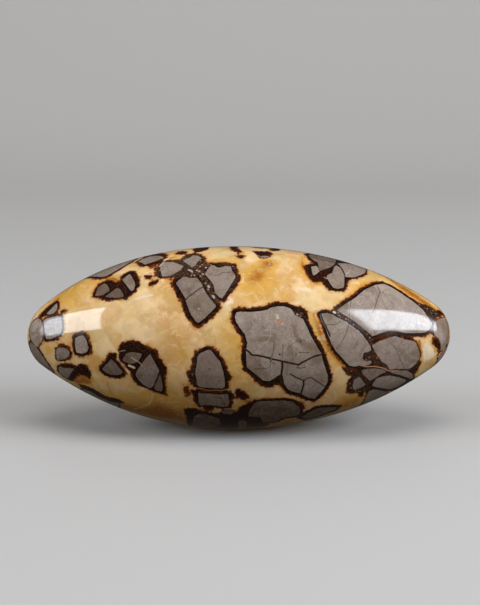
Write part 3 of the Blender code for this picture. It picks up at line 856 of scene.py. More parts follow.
# Lines of cracks and crystal edges, in the same pixels, with their width in millimetres and
# their shade: -1 is the darkest brown, 1 the palest cream and 2 orange
LINES = [
    # Seams of the middle slab
    ([(245, 349), (249, 352), (252, 355), (258, 355.5), (265, 357), (272, 359), (281, 361), (290, 363),
      (299, 364.8), (302, 362.5), (308, 359.5), (314, 356.5), (321.5, 354.5)], 0.5, -1.0),
    ([(282.3, 361.3), (282.3, 368), (281.3, 374), (281.8, 380), (283.5, 385)], 0.8, -1.0),
    ([(290.5, 374), (296, 377.5), (303.5, 380.5)], 0.35, -0.9),
    ([(303.5, 380.5), (303.7, 385), (302, 390), (300.5, 394.5)], 0.55, -1.0),
    ([(303.5, 380.5), (308, 378), (311.5, 377.7), (318, 382), (325, 386.5)], 0.28, -0.8),
    ([(274.5, 342), (273.5, 350), (272, 356), (270.5, 362), (270, 367), (266, 368.5), (254, 369)],
     0.25, -0.5),
    ([(283, 345), (282.5, 352), (282, 360)], 0.22, -0.45),
    ([(290, 328), (291, 334), (293, 339), (297, 342), (302, 342)], 0.3, -0.3),
    ([(292, 338.5), (293.5, 341)], 0.35, 0.35),
    ([(257, 343.5), (258.5, 345.5), (260, 347.5)], 0.3, 0.25),
    ([(299, 352.3), (309, 352.7)], 0.25, -0.55),
    ([(297, 367.5), (301, 368.3), (305, 367)], 0.35, -0.6),
    ([(262, 345), (268, 341), (271, 335), (270, 329)], 0.22, 0.25),
    ([(277, 315), (278, 317.5)], 0.8, 0.5),
    ([(276, 319.3), (277.5, 322.6)], 0.55, 1.7),
    ([(280, 324), (280.8, 322.6), (282.6, 322), (284.2, 323.2), (283.6, 324.8), (281.6, 325.3)], 0.4, 1.7),
    ([(262.5, 326), (264, 328.5)], 0.4, -0.35),
    ([(265.5, 330), (267.5, 330.2)], 0.6, 0.3),
    ([(274, 322), (275, 328)], 0.25, -0.3),
    ([(250, 321), (251.5, 324)], 0.4, -0.35),
    ([(246, 331), (250, 329), (252, 325)], 0.25, -0.3),
    ([(300.2, 341), (301, 342.3)], 0.5, -0.6),
    ([(293.5, 344), (294, 352), (295, 361)], 0.2, 0.3),
    # Specks in the mudstone
    ([(282.8, 323.7), (283.6, 323.4)], 0.8, -0.9),
    ([(279.3, 354.4), (279.6, 354.6)], 0.45, -0.8),
    ([(209, 368.9), (209.5, 369.1)], 0.5, -0.5),
    ([(207.2, 375.2), (207.5, 375.6)], 0.5, -0.35),
    ([(399, 355), (399.5, 355.2)], 0.5, -0.4),
    ([(443, 324), (443.4, 324.4)], 0.5, -0.6),
    ([(192.8, 285.8), (193.2, 286.2)], 0.4, -0.3),
    ([(367, 290), (367.6, 291)], 0.35, -0.4),
    # Seams of the kite
    ([(185, 300.5), (188, 297), (192, 294.5), (195, 292), (199, 289), (203.5, 287)], 0.35, -0.8),
    ([(189, 292.5), (195, 295)], 0.2, -0.4),
    ([(193, 308), (195, 303), (199, 299), (203, 297)], 0.2, -0.25),
    ([(198, 314.2), (200, 314.6)], 0.3, -0.4),
    ([(215, 275), (219, 275), (221, 273), (225, 272.3), (231, 272)], 0.25, -0.6),
    ([(228, 271), (228.5, 280)], 0.2, -0.3),
    # Seams of the heart
    ([(310, 256), (316, 258), (322, 259.8), (329, 261), (336, 262.5)], 0.35, -0.8),
    ([(327, 254), (328.3, 257.5)], 0.5, -0.9),
    ([(338.5, 264.5), (342, 269), (344.7, 275)], 0.4, -0.9),
    ([(347, 264), (348, 268), (352, 273), (356, 277)], 0.22, -0.35),
    ([(346, 274), (349, 272), (350, 270)], 0.3, 0.4),
    # The large right piece
    ([(377, 285), (380, 292), (377, 300), (375, 307), (372, 313)], 0.25, -0.55),
    ([(380, 292), (384, 293), (386, 296)], 0.2, -0.45),
    ([(418, 307), (414, 312), (410.5, 318), (409, 323), (407, 327)], 0.25, -0.35),
    ([(351, 300), (349.5, 310), (349, 320), (348, 328)], 0.2, -0.5),
    ([(321, 315), (323, 321), (327, 329), (330, 336)], 0.45, -0.9),
    ([(326, 324.5), (331, 324.5), (335, 325), (341, 321)], 0.25, -0.5),
    ([(348, 328), (345, 336), (341, 343), (336.5, 349)], 0.25, -0.5),
    ([(352, 349), (356, 346), (357.5, 340)], 0.25, -0.45),
    ([(390, 342), (395, 348), (399, 357), (402, 363), (404, 369)], 0.3, -0.4),
    ([(408, 343), (409, 355), (408, 365)], 0.22, -0.25),
    ([(412, 350), (413, 358), (410, 365)], 0.2, -0.2),
    ([(324.3, 277.3), (326.8, 278.6)], 0.4, 1.8),
    ([(361, 365.5), (366, 366.5), (375, 366.5), (382, 367.7), (389, 371), (397, 370.7)], 0.25, 1.6),
    ([(374, 387.8), (384, 388.7)], 0.3, -0.6),
    ([(333.8, 312), (335, 312.6)], 0.8, 0.9),
    # Seams of the arch group and its neighbours
    ([(131.5, 357.5), (135, 360), (140, 363), (142.5, 366.5)], 0.16, 0.55),
    ([(208.3, 285.8), (208.9, 287.3)], 0.8, 0.5),
    ([(213, 296), (214.2, 297.6)], 0.7, 0.55),
    ([(189, 269.8), (192, 271.6)], 0.9, 0.5),
    ([(118.5, 360.5), (121, 363.5), (125, 369), (129, 374.5)], 0.35, 0.35),
    ([(117.5, 352.5), (121, 351), (125, 350.5)], 0.25, 0.35),
    ([(129, 365.6), (132, 366.7), (134.2, 367.8)], 0.75, 0.8),
    ([(214, 397), (221, 398), (222, 401), (225, 405)], 0.3, -0.5),
    ([(223, 395), (223.5, 399)], 0.3, 0.25),
    ([(193, 387.3), (196, 387.8), (202.4, 389.1), (209.4, 390.7), (215.8, 390), (220.9, 390.7),
      (227.9, 389.1), (231, 388.6)], 0.3, 2.0),
    # The belly slab's streaks
    ([(266, 404), (270, 407), (279, 408.5), (290, 408.5)], 0.3, -0.45),
    ([(276, 410.5), (285, 410.3), (292, 410)], 0.35, -0.5),
    # Crystal edges in the calcite
    ([(252, 281), (257, 283), (263, 289)], 0.35, 0.25),
    ([(275, 288), (278, 292)], 0.35, 0.35),
    ([(232, 302.3), (232.6, 302.6)], 0.6, 0.9),
    ([(296.5, 291), (298, 292)], 0.8, 0.6),
    ([(136, 299), (144, 296.5), (152, 295)], 0.8, 0.75),
    ([(159.5, 266.5), (165.5, 260.2), (172.7, 255)], 0.45, 0.5),
    ([(107, 304), (112, 302.5), (118, 302)], 0.4, 0.4),
    ([(205, 331), (207, 328), (212, 326)], 0.35, 0.4),
    ([(146, 327), (149, 329.5)], 0.5, 0.4),
    ([(134, 409), (142, 407), (149, 404), (152, 399), (152.5, 394)], 0.4, 0.45),
    ([(160, 398), (168, 402), (173, 405)], 0.4, 0.35),
    ([(107, 382), (109, 388), (112, 394)], 0.5, -0.3),
    ([(95, 349), (100, 353), (104, 357)], 0.4, 0.4),
    ([(334, 391), (336, 396), (335, 400)], 0.5, 0.5),
    ([(163, 314), (166, 313), (167, 316)], 0.4, 0.5),
    # The muddy middle of the vein beside the middle slab
    ([(313.5, 314), (317, 328), (322, 340), (328, 351)], 0.9, -0.4),
]

# Soft spots in the calcite as pixel, reach in pixels and strength: amber above 0, pale below
# These spots are partly the calcite's own amber and milky clouds and partly painted light and shade: paler in
# the brightly lit band over the top and at the right end, deeper amber across the dim middle and low on the
# front
AMBER_AND_SHADING_SPOTS = [
    ((70, 292), 26, 0.9), ((100, 280), 10, 0.5), ((130, 402), 45, 0.45), ((185, 350), 26, 0.25),
    ((233, 360), 22, 0.5), ((345, 398), 20, 0.4), ((150, 352), 14, 0.35), ((90, 350), 20, 0.25),
    ((112, 280), 5, 1.0), ((150, 267), 4, 0.9), ((225, 330), 14, 0.45), ((182, 345), 14, 0.3),
    ((49, 348), 6, 0.7), ((60, 368), 6, 0.4), ((428, 352), 10, -1.2), ((230, 300), 5, -0.7),
    ((255, 272), 14, 0.5), ((268, 263), 9, 1.2), ((262, 280), 20, 0.75), ((255, 275), 10, 0.3),
    ((245, 295), 16, 0.3), ((280, 302), 12, 0.35), ((82, 379), 8, 1.3), ((78, 384), 8, 0.5),
    ((110, 400), 14, 0.4),
    ((162, 408), 22, 0.8), ((190, 408), 12, 0.4), ((236, 340), 6, 0.5), ((240, 347), 4, 0.9),
    ((330, 350), 9, 0.7), ((322, 330), 8, 0.5), ((340, 362), 7, 0.8), ((405, 290), 16, 1.0),
    ((420, 300), 12, 0.5), ((430, 308), 7, 0.9), ((433, 343), 5, 1.1), ((419, 345), 5, 0.9),
    ((360, 284), 6, 0.5), ((350, 262), 6, 0.6), ((302, 266), 6, 0.4), ((47, 355), 9, 0.2),
    ((240, 405), 7, 0.5), ((350, 405), 16, 0.5), ((190, 385), 6, 0.4), ((225, 300), 8, -0.5),
    ((150, 275), 14, -0.5), ((300, 285), 16, -0.5), ((160, 320), 30, -0.35), ((245, 266), 8, -0.5),
    ((430, 350), 10, -0.6), ((335, 375), 12, -0.4), ((210, 335), 22, -0.1), ((130, 325), 16, 0.15),
    ((275, 392), 16, 0.1), ((120, 390), 12, -0.15), ((300, 250), 10, 0.2),
]

# Streaks of amber and rust in the calcite, and of painted shade, as pixels, reach in millimetres and strength
AMBER_AND_SHADING_STREAKS = [
    ([(317.5, 321), (319.5, 330), (325, 341), (331, 352), (338, 359.5), (345, 366)], 0.5, 1.3),
    ([(309, 312), (312, 320), (316, 331), (321, 341)], 0.6, 0.6),
    ([(418.5, 341), (420.5, 347), (422, 354), (421.5, 361), (418, 368), (416.5, 373)], 0.4, 1.7),
    ([(432.5, 341), (434.5, 345), (436, 350)], 0.8, 1.8),
    ([(41, 314), (49, 306), (57, 300)], 1.0, 1.5),
    ([(76, 381), (79, 375.5), (84, 374.5), (88, 381)], 1.6, 1.3),
    ([(92, 297), (95, 289), (99, 283)], 0.7, 1.0),
    ([(108, 279), (113, 279.5), (118, 281)], 0.8, 1.6),
    ([(205, 262), (215, 260.5), (228, 260.5), (238, 263)], 0.8, 1.0),
    ([(303, 257), (302, 266), (306, 277), (312, 284), (322, 284)], 1.0, 1.1),
    ([(341, 303), (352, 294), (362, 285), (376, 281)], 0.9, 0.8),
    ([(392, 281), (408, 291), (424, 302), (437, 312)], 1.3, 1.3),
    ([(340, 259), (352, 261.5)], 0.7, 1.6),
    # The two wide streaks along the lower front are painted shade: deeper amber where the underside turns
    # away from the light
    ([(110, 402), (140, 411), (185, 418), (240, 424)], 5.0, 0.9),
    ([(330, 412), (350, 402), (375, 392)], 4.0, 0.5),
    ([(244, 400), (249, 402)], 0.8, 1.6),
    ([(170, 258.5), (176, 256.5)], 0.5, 1.6),
]


def mark_shown_side(markings):
    """All that the photograph shows."""
    for seen, beyond, rim, tone in MUDSTONE.values():
        markings.add_mudstone(markings.corners(seen, beyond), rim, tone)
    for name, seen in BROWN.items():
        markings.add_brown(markings.corners(seen), CHIPPED.get(name, 0.0))
    for seen, width, shade in LINES:
        markings.add_line(markings.corners(seen), width, shade)
    for pixel, reach, strength in AMBER_AND_SHADING_SPOTS:
        markings.add_amber_and_shading([markings.skin.seen(pixel)], reach * MM_A_PIXEL, strength)
    for seen, reach, strength in AMBER_AND_SHADING_STREAKS:
        markings.add_amber_and_shading(markings.corners(seen), reach, strength)


# What the photograph doesn't show, in the same manner: groups of broken mudstone as station,
# degrees up from the front, length, width, degrees of slant and how often each was broken
HIDDEN_GROUPS = [
    (-47, 150, 22, 12, 25, 1),
    (-53, 203, 10, 7, -40, 0),
    (-31, 180, 20, 14, -20, 2),
    (-25, 124, 14, 8, 10, 1),
    (-38, 221, 17, 9, 35, 1),
    (-19, 236, 15, 9, -20, 0),
    (-10, 155, 24, 15, 15, 2),
    (-7, 207, 13, 17, 20, 1),
    (6, 129, 9, 5, -25, 0),
    (15, 176, 24, 19, -35, 2),
    (23, 128, 15, 8, 15, 1),
    (12, 224, 22, 11, 10, 1),
    (37, 150, 18, 11, -25, 1),
    (43, 190, 20, 13, 30, 2),
    (32, 219, 10, 7, -45, 0),
    (55, 144, 11, 6, 30, 0),
    (50, 234, 17, 9, -10, 1),
    (-22, 262, 18, 10, 15, 1),
    (8, 262, 16, 10, -30, 1),
    (30, 258, 13, 8, 20, 0),
    (-48, 254, 15, 8, 5, 1),
    (-61, 168, 8, 5, 10, 0),
    (61, 197, 9, 6, -20, 0),
    (-14, 106, 7, 4, 0, 0),
    (34, 106, 8, 4, 10, 0),
    (-17, 186, 4, 3, 40, 0),
    (29, 170, 5, 3, 70, 0),
    (3, 193, 3, 5, 20, 0),
]
HIDDEN_RIM = (0.9, 1.3)
HIDDEN_TONE = (-0.4, 0.6)
HIDDEN_SEED = 23

# How uneven a group's outline is, and how far apart and how askew its pieces broke
OVAL_CORNERS = (5, 8)
CORNER_SHIFT = 0.4
CORNER_SWELL = (0.78, 1.2)
PARTING = (0.5, 1.6)
BREAK_SLANT = 0.6
TIP_MARGIN = 1.0

# Cracks in the larger of those pieces: their share, bow and width in millimetres and darkness
CRACKED_SHARE = 0.6
CRACK_BOW = 2.0
CRACK_WIDTH = (0.2, 0.4)
CRACK_DARKNESS = (0.3, 0.8)

# The tint beside each group: how far off along and round the stone, its strength and its reach
TINT_OFF_ALONG = 12
TINT_OFF_DEGREES = 30
TINT_STRENGTH = (-0.3, 0.9)
TINT_REACH = (3, 9)


def rough_oval(draw, length, width):
    """A broken outline of straight edges, in flat millimetres round its middle."""
    corners = draw.randint(*OVAL_CORNERS)
    outline = []
    for corner in range(corners):
        turn = 2 * math.pi * (corner + draw.uniform(-CORNER_SHIFT, CORNER_SHIFT)) / corners
        swell = draw.uniform(*CORNER_SWELL)
        outline.append((length / 2 * swell * math.cos(turn), width / 2 * swell * math.sin(turn)))
    return outline


def one_side(outline, place, normal, gap):
    """What of a flat outline lies more than half the gap beyond a line, on its normal's side."""
    kept = []
    heights = [(x - place[0]) * normal[0] + (y - place[1]) * normal[1] - gap / 2 for x, y in outline]
    for i, (here, height) in enumerate(zip(outline, heights)):
        before, height_before = outline[i - 1], heights[i - 1]
        if (height > 0) != (height_before > 0):
            share = height_before / (height_before - height)
            kept.append(tuple(b + (h - b) * share for b, h in zip(before, here)))
        if height > 0:
            kept.append(here)
    return kept


def broken(draw, outline, breaks):
    """The outline's pieces after so many breaks, each across the piece that is then longest."""
    pieces = [outline]
    for _ in range(breaks):
        pieces.sort(key=lambda piece: max(math.dist(piece[0], corner) for corner in piece))
        longest = pieces.pop()
        place = tuple(sum(axis) / len(longest) for axis in zip(*longest))
        far = max(longest, key=lambda corner: math.dist(corner, place))
        turn = math.atan2(far[1] - place[1], far[0] - place[0])
        turn += draw.uniform(-BREAK_SLANT, BREAK_SLANT)
        normal = (math.cos(turn), math.sin(turn))
        gap = draw.uniform(*PARTING)
        pieces.append(one_side(longest, place, normal, gap))
        pieces.append(one_side(longest, place, (-normal[0], -normal[1]), gap))
    return [piece for piece in pieces if len(piece) > 2]


def laid_round(outline, station, degrees, slant):
    """A flat outline wrapped on the skin at a station and degrees up from the front."""
    cos, sin = math.cos(math.radians(slant)), math.sin(math.radians(slant))
    corners = []
    for along, across in outline:
        x = station + along * cos - across * sin
        x = max(-LENGTH / 2 + TIP_MARGIN, min(LENGTH / 2 - TIP_MARGIN, x))
        up = along * sin + across * cos
        corners.append(around(x, degrees + math.degrees(up / radius_at(station))))
    return corners


def crack(draw, corners):
    """The ends and middle of a crack from one corner to the far side of a piece."""
    start, end = corners[0], (corners[2] + corners[3]) / 2
    return [start, start.lerp(end, 0.5) + Vector((draw.uniform(-CRACK_BOW, CRACK_BOW), 0, 0)), end]


def mark_hidden_side(markings):
    """Groups of mudstone, cracks and tints where the photograph doesn't reach."""
    draw = random.Random(HIDDEN_SEED)
    for station, degrees, length, width, slant, breaks in HIDDEN_GROUPS:
        rim = draw.uniform(*HIDDEN_RIM)
        for piece in broken(draw, rough_oval(draw, length, width), breaks):
            corners = laid_round(piece, station, degrees, slant)
            markings.add_mudstone(corners, rim, draw.uniform(*HIDDEN_TONE))
            if len(piece) > 4 and draw.random() < CRACKED_SHARE:
                line = crack(draw, corners)
                markings.add_line(line, draw.uniform(*CRACK_WIDTH), -draw.uniform(*CRACK_DARKNESS))
        strength = draw.uniform(*TINT_STRENGTH)
        x = station + draw.uniform(-TINT_OFF_ALONG, TINT_OFF_ALONG)
        spot = around(x, degrees + draw.uniform(-TINT_OFF_DEGREES, TINT_OFF_DEGREES))
        markings.add_amber_and_shading([spot], draw.uniform(*TINT_REACH), strength)


def feed(tree, node, inputs):
    """Sets or links a node's inputs."""
    for name, value in inputs.items():
        if isinstance(value, bpy.types.NodeSocket):
            tree.links.new(value, node.inputs[name])
        else:
            node.inputs[name].default_value = value


def put(tree, kind, inputs, output=0, **settings):
    """Adds a node, sets or links its inputs and returns one of its outputs."""
    made = tree.nodes.new("ShaderNode" + kind)
    for name, value in settings.items():
        setattr(made, name, value)
    feed(tree, made, inputs)
    return made.outputs[output]


def calc(tree, operation, a, b=0.0, c=0.0):
    """One step of arithmetic on up to three values."""
    return put(tree, "Math", {0: a, 1: b, 2: c}, operation=operation)


def eased(tree, value, start, end, low=0.0, high=1.0):
    """From low to high as the value goes from start to end, with soft ends."""
    inputs = {"Value": value, "From Min": start, "From Max": end, "To Min": low, "To Max": high}
    return put(tree, "MapRange", inputs, interpolation_type="SMOOTHSTEP")


def mixed(tree, share, a, b, blend="MIX"):
    """Colour a where the share is 0 and colour b where it is 1."""
    return put(tree, "Mix", {0: share, 6: a, 7: b}, output=2, data_type="RGBA", blend_type=blend)


def grain(tree, where, size, detail=2.0, roughness=0.5, distortion=0.0):
    """Soft noise from 0 to 1 with lumps of that size in millimetres."""
    inputs = {
        "Vector": where,
        "Scale": 1 / size,
        "Detail": detail,
        "Roughness": roughness,
        "Distortion": distortion,
    }
    return put(tree, "TexNoise", inputs)


def dots(tree, where, spacing, small, large, strength):
    """Dots that far apart in millimetres, fading out between a small and a large radius."""
    cells = put(tree, "TexVoronoi", {"Vector": where, "Scale": 1 / spacing})
    return eased(tree, cells, small, large, strength, 0.0)


def hairlines(tree, where, spacing, thin, thick, strength):
    """A web of thin lines round cells of that size in millimetres."""
    cells = {"Vector": where, "Scale": 1 / spacing}
    cells = put(tree, "TexVoronoi", cells, feature="DISTANCE_TO_EDGE")
    return eased(tree, cells, thin, thick, strength, 0.0)


def new_group(name, inputs, outputs):
    """An empty node group with these sockets, and the ends to build between."""
    tree = bpy.data.node_groups.new(name, "ShaderNodeTree")
    for label, kind in inputs.items():
        tree.interface.new_socket(label, in_out="INPUT", socket_type="NodeSocket" + kind)
    for label, kind in outputs.items():
        tree.interface.new_socket(label, in_out="OUTPUT", socket_type="NodeSocket" + kind)
    return tree, tree.nodes.new("NodeGroupInput").outputs, tree.nodes.new("NodeGroupOutput").inputs


def place_group(tree, group, inputs):
    """Puts a group into a tree and returns its outputs."""
    made = tree.nodes.new("ShaderNodeGroup")
    made.node_tree = group
    feed(tree, made, inputs)
    return made.outputs


def ragged_edge():
    """Where a depth in millimetres is above 0, with an edge toothed like grown crystals."""
    sockets = {"Where": "Vector"}
    sockets.update(dict.fromkeys(["Depth", "Raggedness", "Tooth", "Softness"], "Float"))
    tree, given, out = new_group("ragged edge", sockets, {"Mask": "Float", "Depth": "Float"})
    scale = calc(tree, "DIVIDE", 1.0, given["Tooth"])
    soft = put(tree, "TexNoise", {"Vector": given["Where"], "Scale": scale, "Detail": 3.0, "Roughness": 0.6})
    teeth = put(tree, "TexVoronoi", {"Vector": given["Where"], "Scale": scale}, output="Distance")
    wobble = calc(tree, "SUBTRACT", calc(tree, "MULTIPLY_ADD", soft, 1.6, -0.38), teeth)
    depth = calc(tree, "MULTIPLY_ADD", wobble, given["Raggedness"], given["Depth"])
    low = calc(tree, "MULTIPLY", given["Softness"], -1.0)
    tree.links.new(eased(tree, depth, low, given["Softness"]), out["Mask"])
    tree.links.new(depth, out["Depth"])
    return tree


def thin_line():
    """A line of uneven width, from the vector to it and the distance to it in millimetres."""
    sockets = {"Where": "Vector", "Offset": "Vector", "Distance": "Float", "Half width": "Float"}
    tree, given, out = new_group("thin line", sockets, {"Mask": "Float"})
    away = put(tree, "VectorMath", {0: given["Offset"]}, output="Value", operation="LENGTH")
    uneven = calc(tree, "MULTIPLY_ADD", grain(tree, given["Where"], 1.6, 3.0), 1.1, 0.45)
    half = calc(tree, "MULTIPLY", given["Half width"], uneven)
    inside = eased(tree, away, half, calc(tree, "ADD", half, 0.12), 1.0, 0.0)
    real = eased(tree, given["Distance"], 0.30, 0.45, 1.0, 0.0)
    tree.links.new(calc(tree, "MULTIPLY", inside, real), out["Mask"])
    return tree


CREAM = (0.78, 0.57, 0.30, 1)
HONEY = (0.62, 0.345, 0.105, 1)
GOLD = (0.64, 0.350, 0.070, 1)
AMBER = (0.34, 0.105, 0.008, 1)
MILK = (0.88, 0.73, 0.54, 1)
PINK_CREAM = (0.78, 0.50, 0.33, 1)
OLIVE = (0.48, 0.36, 0.15, 1)
CRYSTAL_SIZE = 6.5


def calcite_colour():
    """Cloudy honey calcite: soft crystals a little unlike each other, with flashes, and amber and milky
    paleness that are partly painted shade and painted light.
    """
    tree, given, out = new_group("calcite colour", {"Where": "Vector", "Amber": "Float"}, {"Colour": "Color"})
    where = given["Where"]
    drift = put(tree, "TexNoise", {"Vector": where, "Scale": 1 / 6.0, "Detail": 4.0}, output="Color")
    drift = put(tree, "VectorMath", {0: drift, 1: (0.5, 0.5, 0.5)}, operation="SUBTRACT")
    bent = put(tree, "VectorMath", {0: drift, 1: (8.0, 8.0, 8.0), 2: where}, operation="MULTIPLY_ADD")
    clouds = grain(tree, where, 15.0, 3.0, 0.55)
    wisps = grain(tree, bent, 3.5, 5.0, 0.55)

    crystal = {"Vector": bent, "Scale": 1 / CRYSTAL_SIZE, "Smoothness": 0.5}
    crystal = put(tree, "TexVoronoi", crystal, output="Color", feature="SMOOTH_F1")
    crystal = put(tree, "SeparateColor", {0: crystal})
    tint = crystal.node.outputs[1]
    warm = calc(tree, "MULTIPLY_ADD", crystal, 0.45, clouds)
    warm = calc(tree, "MULTIPLY_ADD", wisps, 0.55, warm)
    colour = mixed(tree, eased(tree, warm, 0.65, 1.35), CREAM, HONEY)
    colour = mixed(tree, eased(tree, tint, 0.60, 0.85, 0.0, 0.2), colour, PINK_CREAM)
    colour = mixed(tree, eased(tree, tint, 0.40, 0.18, 0.0, 0.22), colour, OLIVE)

    # Amber and milkiness from the stored field: the calcite's own tints, partly painted shade and painted
    # light
    amber = calc(tree, "MULTIPLY_ADD", calc(tree, "SUBTRACT", wisps, 0.5), 1.0, given["Amber"])
    colour = mixed(tree, eased(tree, amber, 0.05, 0.70, 0.0, 0.9), colour, GOLD)
    colour = mixed(tree, eased(tree, amber, 0.70, 1.6, 0.0, 0.9), colour, AMBER)
    colour = mixed(tree, eased(tree, amber, -0.15, -0.8, 0.0, 0.75), colour, MILK)

    stretched = {"Vector": bent, "Rotation": (0.5, 0.7, 0.9), "Scale": (0.12, 0.7, 0.7)}
    stretched = put(tree, "Mapping", stretched)
    flashes = put(tree, "TexNoise", {"Vector": stretched, "Scale": 1.0, "Detail": 2.0, "Roughness": 0.4})
    clearness = eased(tree, clouds, 0.4, 0.6, 0.0, 0.4)
    flashes = calc(tree, "MULTIPLY", eased(tree, flashes, 0.60, 0.74), clearness)
    colour = mixed(tree, flashes, colour, MILK)
    specks = dots(tree, where, 3.2, 0.05, 0.12, 0.5)
    colour = mixed(tree, calc(tree, "MULTIPLY", specks, eased(tree, wisps, 0.5, 0.6)), colour, MILK)
    edges = hairlines(tree, bent, CRYSTAL_SIZE, 0.0, 0.03, 0.35)
    edges = calc(tree, "MULTIPLY", edges, eased(tree, wisps, 0.50, 0.62))
    colour = mixed(tree, edges, colour, MILK)
    facets = put(tree, "TexVoronoi", {"Vector": bent, "Scale": 1 / 2.6}, output="Color")
    facets = eased(tree, put(tree, "SeparateColor", {0: facets}), 0.0, 1.0, 0.94, 1.04)
    colour = put(tree, "VectorMath", {0: colour, "Scale": facets}, operation="SCALE")
    tree.links.new(colour, out["Colour"])
    return tree


GREY = (0.272, 0.212, 0.172, 1)
LIGHT_GREY = (0.405, 0.335, 0.285, 1)
DARK_GREY = (0.128, 0.084, 0.060, 1)
BROWN_GREY = (0.205, 0.140, 0.098, 1)
STAIN = (0.100, 0.058, 0.036, 1)


def mudstone_colour():
    """Fine grey mudstone with clouds, brownish stains, a web of hair cracks and specks."""
    tree, given, out = new_group("mudstone colour", {"Where": "Vector", "Tone": "Float"}, {"Colour": "Color"})
    where = given["Where"]
    clouds = grain(tree, where, 4.5, 5.0, 0.66, 0.8)
    tone = calc(tree, "ADD", given["Tone"], calc(tree, "MULTIPLY_ADD", clouds, 2.6, -1.3))
    colour = mixed(tree, eased(tree, tone, 0.0, 1.3), GREY, LIGHT_GREY)
    colour = mixed(tree, eased(tree, tone, 0.0, -1.3), colour, DARK_GREY)
    brownish = eased(tree, grain(tree, where, 8.0, 3.0, 0.6, 1.0), 0.48, 0.66, 0.0, 0.8)
    colour = mixed(tree, brownish, colour, BROWN_GREY)
    stains = eased(tree, grain(tree, where, 2.0, 4.0, 0.65, 1.5), 0.55, 0.75, 0.0, 0.4)
    colour = mixed(tree, stains, colour, STAIN)
    drift = put(tree, "TexNoise", {"Vector": where, "Scale": 1 / 5.0, "Detail": 2.0}, output="Color")
    bent = put(tree, "VectorMath", {0: drift, 1: (4.0, 4.0, 4.0), 2: where}, operation="MULTIPLY_ADD")
    web = hairlines(tree, bent, 7.0, 0.004, 0.022, 0.55)
    pits = dots(tree, where, 2.3, 0.07, 0.13, 0.8)
    flecks = dots(tree, bent, 2.7, 0.08, 0.16, 0.7)
    for marks, start, end, tint in ((web, 0.47, 0.56, STAIN), (pits, 0.45, 0.6, STAIN),
                                    (flecks, 0.5, 0.4, LIGHT_GREY)):
        share = calc(tree, "MULTIPLY", marks, eased(tree, clouds, start, end))
        colour = mixed(tree, share, colour, tint)
    fine = grain(tree, where, 0.45, 3.0, 0.75)
    fine = eased(tree, fine, 0.3, 0.7, 0.82, 1.16)
    colour = put(tree, "VectorMath", {0: colour, "Scale": fine}, operation="SCALE")
    tree.links.new(colour, out["Colour"])
    return tree


NEAR_BLACK = (0.008, 0.004, 0.003, 1)
DARK_BROWN = (0.056, 0.012, 0.003, 1)
RUST = (0.200, 0.036, 0.003, 1)
ORANGE_BROWN = (0.42, 0.15, 0.022, 1)
VIOLET_SPECK_AND_GLINT = (0.115, 0.068, 0.060, 1)
EARTH_BROWN = (0.125, 0.070, 0.042, 1)
CHIP_PINK = (0.42, 0.28, 0.20, 1)


def rim_colour():
    """The dark brown rim: blackest beside the mudstone, speckled with grains and painted glints, and rusty at
    its outer teeth.
    """
    sockets = {"Where": "Vector", "Depth": "Float", "From mudstone": "Float", "Chips": "Float"}
    tree, given, out = new_group("rim colour", sockets, {"Colour": "Color"})
    where = given["Where"]
    specks = grain(tree, where, 0.55, 3.0, 0.7)
    patches = grain(tree, where, 3.0, 3.0)
    colour = mixed(tree, eased(tree, specks, 0.43, 0.66), NEAR_BLACK, DARK_BROWN)
    colour = mixed(tree, eased(tree, given["From mudstone"], 0.70, 0.25, 0.0, 0.8), colour, NEAR_BLACK)
    # Violet-brown specks: partly pale grains in the rim and partly painted glints of its polish
    colour = mixed(tree, eased(tree, specks, 0.62, 0.74, 0.0, 0.4), colour, VIOLET_SPECK_AND_GLINT)
    earthy = calc(tree, "MULTIPLY", given["Chips"], eased(tree, specks, 0.42, 0.62, 0.15, 1.3))
    colour = mixed(tree, earthy, colour, EARTH_BROWN)
    size = calc(tree, "MULTIPLY", given["Chips"], 0.42)
    chips = dots(tree, where, 1.3, size, calc(tree, "ADD", size, 0.10), 0.85)
    chips = calc(tree, "MULTIPLY", chips, eased(tree, given["Chips"], 0.05, 0.3))
    colour = mixed(tree, chips, colour, CHIP_PINK)
    rust_depth = calc(tree, "MULTIPLY_ADD", patches, 1.8, -0.15)
    rusty = eased(tree, given["Depth"], rust_depth, 0.0, 0.0, 0.8)
    colour = mixed(tree, rusty, colour, RUST)
    fringe = eased(tree, given["Depth"], 0.22, -0.06)
    fringe = calc(tree, "MULTIPLY", fringe, eased(tree, patches, 0.42, 0.6, 0.3, 0.9))
    tree.links.new(mixed(tree, fringe, colour, ORANGE_BROWN), out["Colour"])
    return tree


LINE_BROWN = (0.030, 0.015, 0.010, 1)
LINE_CREAM = (0.80, 0.68, 0.50, 1)
LINE_ORANGE = (0.42, 0.17, 0.05, 1)
HALO_ORANGE = (0.46, 0.20, 0.045, 1)
MUDSTONE_EDGE = {"Raggedness": 0.12, "Tooth": 0.9, "Softness": 0.05}
RIM_EDGE = {"Raggedness": 0.7, "Tooth": 1.1, "Softness": 0.2}

# Polish, refraction and the little light that passes under the skin
STONE_IOR = 1.56
LIGHT_UNDER_SKIN = 0.35
LIGHT_REACH = (1.0, 0.45, 0.15)
LIGHT_DEPTH = 4 * MM


